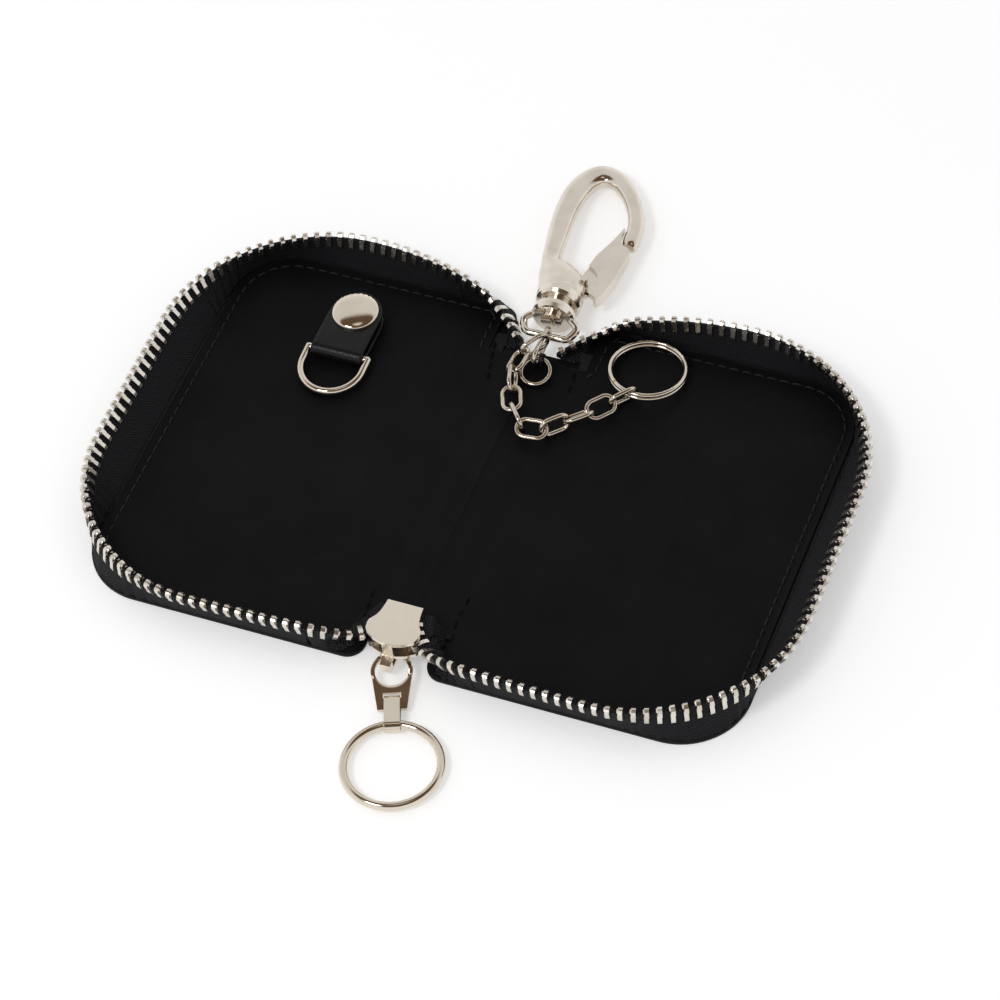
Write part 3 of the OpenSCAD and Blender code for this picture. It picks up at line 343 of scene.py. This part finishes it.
def resample(loop, step):
    """A closed outline with points no more than step apart."""
    out = []
    for a, b in zip(loop, np.roll(loop, -1, axis=0)):
        n = max(1, int(math.ceil(np.linalg.norm(b - a) / step)))
        out += [a + (b - a) * k / n for k in range(n)]
    return np.array(out)


def inward(loop):
    """Unit normals of an outline, towards its inside."""
    t = np.roll(loop, -1, axis=0) - np.roll(loop, 1, axis=0)
    t /= np.linalg.norm(t, axis=1)[:, None] + 1e-9
    return np.stack([-t[:, 1], t[:, 0]], axis=1)


def gap_to(loop, pts):
    """Distance of points from an outline."""
    a, b = loop, np.roll(loop, -1, axis=0)
    d = b - a
    best = np.full(len(pts), 1e9)
    for p, q in zip(a, d):
        t = np.clip(((pts - p) @ q) / (q @ q + 1e-12), 0, 1)
        best = np.minimum(best, np.linalg.norm(pts - p - t[:, None] * q, axis=1))
    return best


def inside(loop, pts):
    r = np.zeros(len(pts), bool)
    for (x0, y0), (x1, y1) in zip(loop, np.roll(loop, -1, axis=0)):
        if y0 == y1:
            continue
        c = (pts[:, 1] > min(y0, y1)) & (pts[:, 1] <= max(y0, y1))
        r ^= c & (pts[:, 0] > x0 + (pts[:, 1] - y0) * (x1 - x0) / (y1 - y0))
    return r


# Rolled edge of a leather sheet: shares of the edge, inward and upward, from the outline on.
EDGE_ROLL = [(1.0, 0.0), (0.3, 0.12), (0.0, 0.4)]
EDGE_HIGH = 1.6


def leather_sheet(name, loop, low, high, lift, mat, edge=0.35, step=1.6, flat_side=None):
    """A closed leather sheet with rounded edges; lift(x, y, gap) moves its top, in millimetres.
    flat_side is an x at which the outline is a joint and keeps square edges."""
    loop = resample(loop, 1.2)
    nrm = inward(loop)
    e = np.full(len(loop), edge)
    if flat_side is not None:
        e[np.abs(loop[:, 0] - flat_side) < 0.01] = 0.0
    layers = []
    for a, b in EDGE_ROLL:
        layers.append((loop + nrm * (e * a)[:, None], low + edge * b * EDGE_HIGH))
    for a, b in reversed(EDGE_ROLL):
        layers.append((loop + nrm * (e * a)[:, None], high - edge * b * EDGE_HIGH))
    n = len(loop)
    lo, hi = loop.min(0), loop.max(0)
    gx, gy = np.meshgrid(np.arange(lo[0], hi[0], step), np.arange(lo[1], hi[1], step * 0.87))
    gx = gx + (np.arange(gy.shape[0]) % 2)[:, None] * step / 2
    grid = np.stack([gx.ravel(), gy.ravel()], axis=1)
    grid = grid[inside(loop, grid)]
    grid = grid[gap_to(loop, grid) > edge + 0.7]
    inner = layers[-1][0]
    pts = np.vstack([inner, grid])
    res = delaunay_2d_cdt([Vector(p) for p in pts], [], [list(range(n))], 1, 1e-5)
    tri_pts = np.array([[p.x, p.y] for p in res[0]])
    src = [o[0] if o else -1 for o in res[3]]
    tris = [list(f) for f in res[2]]
    gap = gap_to(loop, tri_pts)
    verts = []
    for ring, z in layers:
        for p in ring:
            verts.append((p[0], p[1], z))
    top_z = high + lift(tri_pts[:, 0], tri_pts[:, 1], gap)
    top = []
    for i, p in enumerate(tri_pts):
        if 0 <= src[i] < n:
            top.append((len(layers) - 1) * n + src[i])
            verts[top[-1]] = (verts[top[-1]][0], verts[top[-1]][1], top_z[i])
        else:
            top.append(len(verts))
            verts.append((p[0], p[1], top_z[i]))
    bottom = []
    for i, p in enumerate(tri_pts):
        if 0 <= src[i] < n:
            bottom.append(src[i])
        else:
            bottom.append(len(verts))
            verts.append((p[0], p[1], low))
    faces = []
    for k in range(len(layers) - 1):
        for i in range(n):
            j = (i + 1) % n
            faces.append((k * n + i, k * n + j, (k + 1) * n + j, (k + 1) * n + i))
    faces += [[top[i] for i in f] for f in tris]
    faces += [[bottom[i] for i in reversed(f)] for f in tris]
    verts = np.array(verts)
    return new_piece(name, verts * MM, faces, mat, verts[:, :2].copy(), sharp=60)


def waves(x, y, seed):
    """Slow swells of a skin, from -1 to 1."""
    r = np.random.default_rng(seed)
    z = np.zeros_like(x)
    for _ in range(9):
        a, k = r.uniform(0, math.pi), r.uniform(0.05, 0.17)
        z += np.sin(k * (x * math.cos(a) + y * math.sin(a)) + r.uniform(0, 6.28)) / 9
    return z


def outer_lift(x, y, gap):
    """The outer skin is flat."""
    return 0.0 * x


def lining_lift(x, y, gap):
    """The lining swells a little, and sinks at its seam and at the crease."""
    groove = np.exp(-((gap - SEAM_INSET) / 0.8) ** 2) * 0.16
    crease = np.exp(-((np.abs(x) - CREASE) / 2.2) ** 2) * 0.14
    return -0.1 + 0.08 * waves(x, y, 3) - groove - crease


lining_loops = {}
for side, tag in ((-1, "left"), (1, "right")):
    body = tag + "_cover"
    for kind, mat, slot, lift, low, high in (
            ("outer_leather", M_outer, "case_leather", outer_lift, 0.0, 1.2),
            ("lining", M_lining, "lining_leather", lining_lift, 1.7, 2.4)):
        loop = half_outline(f"{kind}_{tag}", f"{kind}_spine", side)
        ob = leather_sheet(f"{kind}_skin_{tag}", loop, low, high, lift, mat, flat_side=0.0,
                           edge=0.35 if kind == "outer_leather" else 0.2)
        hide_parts(f"{kind}_{tag}", f"{kind}_spine")
        if kind == "lining":
            lining_loops[tag] = loop
        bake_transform(ob)


# Zip tapes: the CAD form with a woven finish laid along the row of teeth.

def loose_centres(node):
    """Middles of the loose bodies in a node, such as its teeth."""
    v, faces = welded(node)
    parent = list(range(len(v)))

    def find(i):
        while parent[i] != i:
            parent[i] = parent[parent[i]]
            i = parent[i]
        return i
    for f in faces:
        for a in f[1:]:
            parent[find(a)] = find(f[0])
    groups = {}
    for i in range(len(v)):
        groups.setdefault(find(i), []).append(i)
    return [v[g].mean(0) for g in groups.values() if len(g) > 20]


def tooth_line(side):
    """Middles of one half's teeth, in order round its rim."""
    tag = "right" if side > 0 else "left"
    c = [p for n in (f"zip_teeth_{tag}", "zip_teeth_hook_corner", "zip_teeth_slider_corner")
         for p in loose_centres(n) if p[0] * side > 0]
    c.sort(key=lambda p: -math.atan2(p[1], p[0] * side - 45))
    return np.array(c)


def run_of(line, pts):
    """For each point, how far along the line its nearest place is, and how far off."""
    a, d = line[:-1], line[1:] - line[:-1]
    seg = np.linalg.norm(d, axis=1)
    start = np.concatenate([[0], np.cumsum(seg)[:-1]])
    best, run = np.full(len(pts), 1e9), np.zeros(len(pts))
    for k in range(len(a)):
        low, high = -0.6 if k == 0 else 0, 1.6 if k == len(a) - 1 else 1
        t = np.clip(((pts - a[k]) @ d[k]) / (seg[k] ** 2), low, high)
        dist = np.linalg.norm(pts - a[k] - t[:, None] * d[k], axis=1)
        use = dist < best
        best[use], run[use] = dist[use], (start[k] + t * seg[k])[use]
    return run, best


def part_of(node, side):
    """The half of a node on one side of the spine's middle."""
    v, faces = welded(node)
    keep = [f for f in faces if np.mean([v[i][0] for i in f]) * side > 0]
    used = sorted({i for f in keep for i in f})
    new = {i: k for k, i in enumerate(used)}
    return v[used], [[new[i] for i in f] for f in keep]


for side, tag in ((-1, "left"), (1, "right")):
    body = tag + "_cover"
    line = tooth_line(side)
    for node in (f"zip_tape_{tag}", "zip_tape_hook_corner", "zip_tape_slider_corner"):
        v, faces = part_of(node, side)
        run, far = run_of(line, v)
        name = f"woven_{tag}" if node.endswith(tag) else f"woven_{node[9:]}_{tag}"
        ob = new_piece(name, v * MM, faces, M_tape, np.stack([run, far], axis=1), sharp=35)
        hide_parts(node)
        if node.endswith(tag):
            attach(ob, body)
        else:
            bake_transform(ob)
    for node in ("zip_teeth_hook_corner", "zip_teeth_slider_corner"):
        v, faces = part_of(node, side)
        ob = new_piece(f"teeth_{node[10:]}_{tag}", v * MM, faces, M_teeth, sharp=30)
        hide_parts(node)
        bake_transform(ob)


# Cloth of the tape's ends, sewn from the hanging edge down to the leather beside the notch.
# Rows of the right half: a point of the hanging edge and the point of the leather under it.
SKIRT = [
    ((3.95, 44.85, 1.4), (6.5, 44.1, 1.25)), ((4.98, 45.75, 1.5), (9.6, 44.2, 1.25)),
    ((7.0, 48.05, 1.55), (10.5, 48.1, 1.25)), ((8.75, 50.8, 1.85), (10.6, 51.0, 1.25)),
    ((10.8, 53.6, 2.1), (11.1, 53.8, 1.25)), ((13.9, 56.0, 2.25), (13.6, 56.0, 1.25)),
    ((17.5, 57.1, 2.25), (17.2, 56.4, 1.25)), ((21.1, 57.05, 2.1), (21.0, 56.4, 1.25)),
    ((25.2, 56.6, 1.7), (25.2, 56.3, 1.25)),
]


def smooth_rows(rows, n):
    """Catmull-Rom curve through rows of numbers."""
    r = np.array(rows, float)
    r = np.vstack([2 * r[0] - r[1], r, 2 * r[-1] - r[-2]])
    out = []
    for i in range(1, len(r) - 2):
        for k in range(n):
            t = k / n
            out.append(0.5 * (2 * r[i] + (r[i + 1] - r[i - 1]) * t
                              + (2 * r[i - 1] - 5 * r[i] + 4 * r[i + 1] - r[i + 2]) * t * t
                              + (3 * r[i] - r[i - 1] - 3 * r[i + 1] + r[i + 2]) * t ** 3))
    return np.array(out + [r[-2]])


def cloth_band(name, top, foot, thick, mat):
    """A band of cloth between two lines of points, in millimetres."""
    cols, weave_from, weave_wide = 6, 3, 3
    rows = len(top)
    grid = top[:, None] + (foot - top)[:, None] * np.linspace(0, 1, cols)[None, :, None]
    along = np.gradient(grid, axis=0)
    across = np.gradient(grid, axis=1)
    n = np.cross(along, across)
    n /= np.linalg.norm(n, axis=2)[..., None] + 1e-9
    verts = np.concatenate([(grid + n * thick / 2).reshape(-1, 3),
                            (grid - n * thick / 2).reshape(-1, 3)])
    run = np.concatenate([[0], np.cumsum(np.linalg.norm(np.diff(top, axis=0), axis=1))])
    weave = weave_from + np.tile(np.linspace(0, weave_wide, cols), rows)
    uv = np.stack([np.repeat(run, cols), weave], axis=1)
    uv = np.concatenate([uv, uv])
    half = rows * cols
    faces = []
    for i in range(rows - 1):
        for j in range(cols - 1):
            a = i * cols + j
            quad = (a, a + 1, a + cols + 1, a + cols)
            faces += [quad, tuple(half + q for q in reversed(quad))]
    rim = list(range(cols)) + [i * cols + cols - 1 for i in range(1, rows)]
    rim += [(rows - 1) * cols + j for j in reversed(range(cols - 1))]
    rim += [i * cols for i in reversed(range(1, rows - 1))]
    for a, b in zip(rim, rim[1:] + rim[:1]):
        faces.append((b, a, half + a, half + b))
    return new_piece(name, verts * MM, faces, mat, uv, sharp=50)


for side, tag in ((-1, "left"), (1, "right")):
    rows = smooth_rows([a + b for a, b in SKIRT], 4) * [side, 1, 1, side, 1, 1]
    ob = cloth_band(f"hook_skirt_{tag}", rows[:, :3], rows[:, 3:], thick=0.45, mat=M_tape)
    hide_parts("zip_tape_hook_corner")
    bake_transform(ob)


# The link that lies across the right crease. A real one is rigid metal and turns in the chain's
# slack, which isn't modelled. Here it is a copy that isn't attached to any body, and so it
# doesn't show its own small turn on body link_g.
v, faces = welded("chain_link_g")
ob = new_piece("crease_link", v * MM, faces, M_chain, sharp=60)
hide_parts("chain_link_g")
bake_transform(ob)


# Softened copies of CAD pieces

def softened(name, node, body, mat, bevel, sharp=35, segments=2, faces_at=1.0):
    """The CAD form with edges rolled by bevel millimetres, and smooth shading. Faces that meet at
    less than faces_at degrees are joined; edges over sharp degrees are rolled or stay sharp."""
    v, faces = welded(node)
    ob = new_piece(name, v * MM, faces, mat, v[:, 1:], sharp=180)
    bm = bmesh.new()
    bm.from_mesh(ob.data)
    bmesh.ops.dissolve_limit(bm, angle_limit=math.radians(faces_at), verts=bm.verts, edges=bm.edges)
    if bevel:
        edges = [e for e in bm.edges
                 if len(e.link_faces) == 2 and e.calc_face_angle(0) > math.radians(sharp)]
        bmesh.ops.bevel(bm, geom=edges, offset=bevel * MM, offset_type="OFFSET", segments=segments,
                        profile=0.5, affect="EDGES", clamp_overlap=True, loop_slide=True)
    bmesh.ops.triangulate(bm, faces=[f for f in bm.faces if len(f.verts) > 4])
    for f in bm.faces:
        f.smooth = True
    for e in bm.edges:
        e.smooth = not (len(e.link_faces) == 2 and e.calc_face_angle(0) > math.radians(sharp))
    bm.to_mesh(ob.data)
    bm.free()
    normals = ob.modifiers.new("normals", "WEIGHTED_NORMAL")
    normals.keep_sharp = True
    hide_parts(node)
    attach(ob, body)
    return ob


softened("hook_casting", "hook_body", "hook_loop", M_hook,
         bevel=0, sharp=38, faces_at=0.2)
softened("hook_bail_casting", "hook_eye", "hook_bail", M_hook,
         bevel=0, sharp=38, faces_at=0.2)
softened("gate_casting", "hook_gate", "gate", M_hook, bevel=0.25, segments=3)
softened("slider_pressing", "slider_body", "spine", M_slider, bevel=0.16)
softened("pull_link_pressing", "pull_link", "pull_tab", M_nickel, bevel=0.12)
softened("pull_clip_pressing", "pull_clip", "pull_joint", M_nickel, bevel=0.1)
softened("keeper_leather", "anchor_tab", "spine", M_strap, bevel=0.18)


# Snap cap, turned: its face falls away ever more steeply towards a rolled edge.
# Rows: share of the radius and slope in degrees.
CAP_SLOPES = [(0, 0), (0.15, 3), (0.3, 6), (0.5, 10), (0.7, 17), (0.84, 27), (0.92, 38),
              (0.97, 56), (1, 88)]
CAP_SINK = 0.05         # millimetres that the cap's rim sits in the flap
CAP_SIDE = 0.35         # height of its upright side
CAP_ROLL = (0.12, 0.15)  # its rim turns in by the first and starts to turn at the second
CAP_STEM = 0.16         # radius of its stem, as a share of its diameter
CAP_POINTS = 128        # points of each ring


def turned_cap():
    lo, hi = (np.array(p) * 1000 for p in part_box("snap_cap"))
    flap_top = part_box("strap_flap")[1][2] * 1000
    radius, mid = (hi[0] - lo[0]) / 2, (lo + hi) / 2
    near_rim = 1 - 0.1 * np.cos(np.linspace(0.1, math.pi / 2, 26))
    share = np.concatenate([np.linspace(0, 0.9, 24), near_rim])
    slope = np.interp(share, *zip(*CAP_SLOPES))
    between = np.radians((slope[1:] + slope[:-1]) / 2)
    fall = np.concatenate([[0], np.cumsum(np.diff(share) * np.tan(between))])
    skirt_low = flap_top - CAP_SINK
    drop = fall / fall[-1] * (hi[2] - skirt_low - CAP_SIDE)
    profile = [(r * radius, hi[2] - d) for r, d in zip(share, drop)][1:]
    stem = CAP_STEM * 2 * radius
    profile += [(radius, skirt_low + CAP_ROLL[1]), (radius - CAP_ROLL[0], skirt_low),
                (stem, skirt_low), (stem, lo[2])]
    around = CAP_POINTS
    verts = [(mid[0], mid[1], hi[2])]
    for r, z in profile:
        for k in range(around):
            turn = 2 * math.pi * k / around
            verts.append((mid[0] + r * math.cos(turn), mid[1] + r * math.sin(turn), z))
    verts.append((mid[0], mid[1], lo[2]))
    faces = [(0, 1 + k, 1 + (k + 1) % around) for k in range(around)]
    for i in range(len(profile) - 1):
        for k in range(around):
            a, b = 1 + i * around + k, 1 + i * around + (k + 1) % around
            faces.append((a, a + around, b + around, b))
    base = 1 + (len(profile) - 1) * around
    faces += [(base + k, len(verts) - 1, base + (k + 1) % around) for k in range(around)]
    ob = new_piece("snap_cap_turned", np.array(verts) * MM, faces, M_nickel, sharp=50)
    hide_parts("snap_cap")
    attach(ob, "snap_flap")


turned_cap()


# Snap strap: one leather band folded round the bar of the D-ring
STRAP_SOFT = 0.42       # millimetres over which its edge is rounded
STRAP_CROWN = 0.12      # the flap rises by this in its middle
STRAP_ENDS = (3, 8, 15, 24, 34, 46, 58, 70, 82)  # degrees round the two round ends


def strap_band():
    b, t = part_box("strap_base"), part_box("strap_flap")
    lo_x, hi_x = b[0][0] * 1000, b[1][0] * 1000
    thick = (b[1][2] - b[0][2]) * 1000 / 2
    low, high = (b[0][2] + b[1][2]) * 500, (t[0][2] + t[1][2]) * 500
    bar_y, end_y = b[0][1] * 1000, b[1][1] * 1000
    wide, mid_x = (hi_x - lo_x) / 2, (hi_x + lo_x) / 2
    bar_z, turn = (low + high) / 2, (high - low) / 2
    tip = end_y - wide
    ys = [tip + wide * math.cos(math.radians(a)) for a in STRAP_ENDS]
    ys += list(np.linspace(tip, bar_y, 15))

    def half_width(y):
        return math.sqrt(max(wide ** 2 - max(y - tip, 0) ** 2, 0.01))

    # Points of the middle line: place along y, height and half width
    fold_steps = 16
    path = [(y, low, half_width(y)) for y in ys]
    for k in range(1, fold_steps):
        a = math.pi * k / fold_steps
        path.append((bar_y - turn * math.sin(a), bar_z - turn * math.cos(a), wide))
    for y in reversed(ys):
        lift = STRAP_CROWN * math.sin(math.pi * min(max((tip - y) / (tip - bar_y), 0), 1))
        path.append((y, high + lift, half_width(y)))
    soft = STRAP_SOFT
    cols, edge_steps = 26, 6
    verts, uv, run = [], [], 0.0
    for i, (y, z, w) in enumerate(path):
        prev, nxt = path[max(i - 1, 0)], path[min(i + 1, len(path) - 1)]
        d = np.array([nxt[0] - prev[0], nxt[1] - prev[1]])
        d /= np.linalg.norm(d)
        n = np.array([d[1], -d[0]])
        if i:
            run += math.hypot(y - path[i - 1][0], z - path[i - 1][1])
        flat = max(w - soft, 0.05)
        ring = []
        for k in range(cols):
            u = -flat + 2 * flat * k / (cols - 1)
            ring.append((u, thick))
        for k in range(1, edge_steps):
            a = math.pi * k / edge_steps
            ring.append((flat + min(soft, w) * math.sin(a), thick * math.cos(a)))
        for k in range(cols):
            ring.append((flat - 2 * flat * k / (cols - 1), -thick))
        for k in range(1, edge_steps):
            a = math.pi * k / edge_steps
            ring.append((-flat - min(soft, w) * math.sin(a), -thick * math.cos(a)))
        edge = 0.55 if i in (0, len(path) - 1) else 0.85 if i in (1, len(path) - 2) else 1.0
        for u, h in ring:
            verts.append((mid_x + u, y + n[0] * h * edge, z + n[1] * h * edge))
            uv.append((u + (0 if h > 0 else 30), run))
    m = 2 * cols + 2 * (edge_steps - 1)
    faces = []
    for i in range(len(path) - 1):
        for k in range(m):
            a, b2 = i * m + k, i * m + (k + 1) % m
            faces.append((a, b2, b2 + m, a + m))
    faces.append(tuple(reversed(range(m))))
    faces.append(tuple(range((len(path) - 1) * m, len(path) * m)))
    ob = new_piece("snap_strap", np.array(verts) * MM, faces, M_strap, uv, sharp=60)
    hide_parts("strap_base", "strap_fold", "strap_flap")
    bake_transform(ob)


strap_band()


# Stitches

def stitches(name, rows, mat=M_thread, thick=0.23, rise=0.16):
    """rows: (start, end) points of single stitches, in millimetres. Each is an arch of thread with
    its ends sunk in the leather."""
    steps, around, sunk = 7, 8, 0.22
    verts, faces = [], []
    for p, q in rows:
        p, q = np.array(p, float), np.array(q, float)
        t = (q - p) / (np.linalg.norm(q - p) + 1e-9)
        s = np.cross([0, 0, 1.0], t)
        s /= np.linalg.norm(s) + 1e-9
        base = len(verts)
        for k in range(steps):
            f = k / (steps - 1)
            arch = -sunk + (rise + sunk) * math.sin(math.pi * f) ** 0.6
            c = p + (q - p) * f + np.array([0, 0, arch])
            w = thick * (0.75 + 0.25 * math.sin(math.pi * f))
            for j in range(around):
                a = 2 * math.pi * j / around
                verts.append(c + s * math.cos(a) * w + np.array([0, 0, 1]) * math.sin(a) * w * 0.8)
        for k in range(steps - 1):
            ring = base + k * around
            for j in range(around):
                a, b = ring + j, ring + (j + 1) % around
                faces.append((a, b, b + around, a + around))
        faces.append(tuple(base + j for j in reversed(range(around))))
        faces.append(tuple(base + (steps - 1) * around + j for j in range(around)))
    return new_piece(name, np.array(verts) * MM, faces, mat, sharp=50)


def seam(loop, inset, z, long, gap, keep):
    """Stitches along an outline, inset from it."""
    ring = resample(loop, 0.8)
    ring = ring + inward(ring) * inset
    d = np.linalg.norm(np.roll(ring, -1, axis=0) - ring, axis=1)
    run = np.concatenate([[0], np.cumsum(d)])
    total = run[-1]
    closed = np.vstack([ring, ring[:1]])

    def at(s):
        return np.array([np.interp(s, run, closed[:, 0]), np.interp(s, run, closed[:, 1])])
    out = []
    count = int(total / (long + gap))
    pitch = total / count
    for k in range(count):
        p, q = at(k * pitch), at(k * pitch + long)
        if keep(p) and keep(q):
            out.append(((*p, z), (*q, z)))
    return out


for side, tag in ((-1, "left"), (1, "right")):
    body = tag + "_cover"
    rows = seam(lining_loops[tag], SEAM_INSET, z=2.27, long=2.5, gap=0.75,
                keep=lambda p: abs(p[0]) > 13.5)
    ob = stitches(f"lining_seam_{tag}", rows)
    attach(ob, body)

# Short seams beside the creases: corners of each, on the lining
TACKS = {
    "left": [[(-12.3, 44.1), (-9.5, 31.2)], [(-11.8, -37.5), (-10.8, -48)]],
    "right": [[(10.0, 44.5), (11.5, 32.6)], [(10.9, -32.7), (10.5, -39.8), (11.7, -47.9)]],
}
TACK_PITCH, TACK_SHARE, TACK_HIGH = 3.0, 0.72, 2.2
for side, tag in ((-1, "left"), (1, "right")):
    rows = []
    for line in TACKS[tag]:
        line = np.array(line, float)
        for a, b in zip(line[:-1], line[1:]):
            n = max(1, int(np.linalg.norm(b - a) / TACK_PITCH))
            for k in range(n):
                p, q = a + (b - a) * k / n, a + (b - a) * (k + TACK_SHARE) / n
                rows.append(((*p, TACK_HIGH), (*q, TACK_HIGH)))
    ob = stitches(f"crease_seam_{tag}", rows, M_dark_thread, thick=0.34, rise=0.2)
    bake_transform(ob)


# Materials of the carried-over nodes

def paint(mat, *nodes):
    for n in nodes:
        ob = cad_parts[n]
        ob.data.materials.clear()
        ob.data.materials.append(mat)


paint(M_board, "stiffener_left", "stiffener_right")
paint(M_teeth, "zip_teeth_left", "zip_teeth_right")
paint(M_nickel, "pull_ring", "d_ring", "snap_socket", "snap_stud", "snap_post", "split_ring")
paint(M_hook, "swivel_pin", "gate_pin")
paint(M_chain, "anchor_ring", "jump_ring", *[f"chain_link_{c}" for c in "bcdefhijk"])


# Floor, light and background

def make_floor():
    """A pale floor, a hair under the case, which shows paler to the camera and in reflections."""
    me = bpy.data.meshes.new("floor")
    s = 4.0
    me.from_pydata([(-s, -s, 0), (s, -s, 0), (s, s, 0), (-s, s, 0)], [], [(0, 1, 2, 3)])
    ob = bpy.data.objects.new("floor", me)
    ob.location.z = -0.00005
    scene.collection.objects.link(ob)
    n = Nodes("floor_paper")
    n.set(Base_Color=(0.86, 0.86, 0.86, 1), Roughness=0.9)
    n.bsdf.inputs["Specular IOR Level"].default_value = 0.1
    out = next(x for x in n.t.nodes if x.type == "OUTPUT_MATERIAL")
    glow = n.add("ShaderNodeEmission")
    glow.inputs["Strength"].default_value = 0.34
    glow.inputs["Color"].default_value = (1, 1, 1, 1)
    path = n.add("ShaderNodeLightPath")
    seen = n.math("MAXIMUM", path.outputs["Is Camera Ray"], path.outputs["Is Glossy Ray"])
    seen = n.math("MAXIMUM", seen, path.outputs["Is Transmission Ray"])
    add = n.add("ShaderNodeAddShader")
    mix = n.add("ShaderNodeMixShader")
    n.link(n.bsdf.outputs[0], add.inputs[0])
    n.link(glow.outputs[0], add.inputs[1])
    n.link(seen, mix.inputs[0])
    n.link(n.bsdf.outputs[0], mix.inputs[1])
    n.link(add.outputs[0], mix.inputs[2])
    n.link(mix.outputs[0], out.inputs["Surface"])
    me.materials.append(n.mat)


make_floor()
world = bpy.data.worlds.new("studio")
scene.world = world
world.use_nodes = True
W = Nodes.__new__(Nodes)
W.t = world.node_tree
bg = next(n for n in W.t.nodes if n.type == "BACKGROUND")


def towards(direction, inner, outer):
    """1 within inner degrees of a direction of the room, 0 beyond outer degrees."""
    dot = W.add("ShaderNodeVectorMath", operation="DOT_PRODUCT")
    W.link(W.add("ShaderNodeTexCoord").outputs["Generated"], dot.inputs[0])
    dot.inputs[1].default_value = Vector(direction).normalized()
    far, near = math.cos(math.radians(outer)), math.cos(math.radians(inner))
    return W.span(dot.outputs["Value"], 0, 1, far, near)


def blended(fac, a, b):
    """Colour a where fac is 0, b where it is 1."""
    m = W.add("ShaderNodeMix", data_type="RGBA")
    W.link(fac, m.inputs["Factor"])
    for socket, v in ((m.inputs["A"], a), (m.inputs["B"], b)):
        if isinstance(v, tuple):
            socket.default_value = (*v, 1)
        else:
            W.link(v, socket)
    return m.outputs["Result"]


# What reflections see: white walls near the floor, a greyer ceiling, and a dark brown boom over the
# table with a softbox in its middle. Diffuse rays see a white sky that is brighter on the left.
walls = blended(towards((0, 0, 1), 58, 72), (1.0, 1.0, 1.0), (0.8, 0.795, 0.785))
boom = blended(towards((0.092, -0.186, 0.978), 39, 45), walls, (0.13, 0.085, 0.05))
room = blended(towards((0, 0, 1), 5, 11), boom, (0.8, 0.77, 0.72))
path = W.add("ShaderNodeLightPath")
lit = W.math("MAXIMUM", path.outputs["Is Glossy Ray"], path.outputs["Is Transmission Ray"])
side_light = blended(towards((-0.74, 0.27, 0.62), 15, 50), (1.0, 1.0, 1.0), (1.5, 1.5, 1.5))
seen = blended(lit, side_light, room)
direct = W.math("MAXIMUM", path.outputs["Is Camera Ray"], lit)
W.link(seen, bg.inputs["Color"])
W.link(W.span(direct, 0.55, 1.0), bg.inputs["Strength"])


def area(name, place, target, size, power):
    d = bpy.data.lights.new(name, "AREA")
    d.shape = "ELLIPSE"
    d.size, d.size_y = size
    d.energy = power
    ob = bpy.data.objects.new(name, d)
    ob.location = place
    ob.rotation_euler = (Vector(target) - Vector(place)).to_track_quat("-Z", "Y").to_euler()
    scene.collection.objects.link(ob)


area("key", (-0.36, -0.7, 1.1), (0, 0, 0), (0.44, 0.32), 4.0)
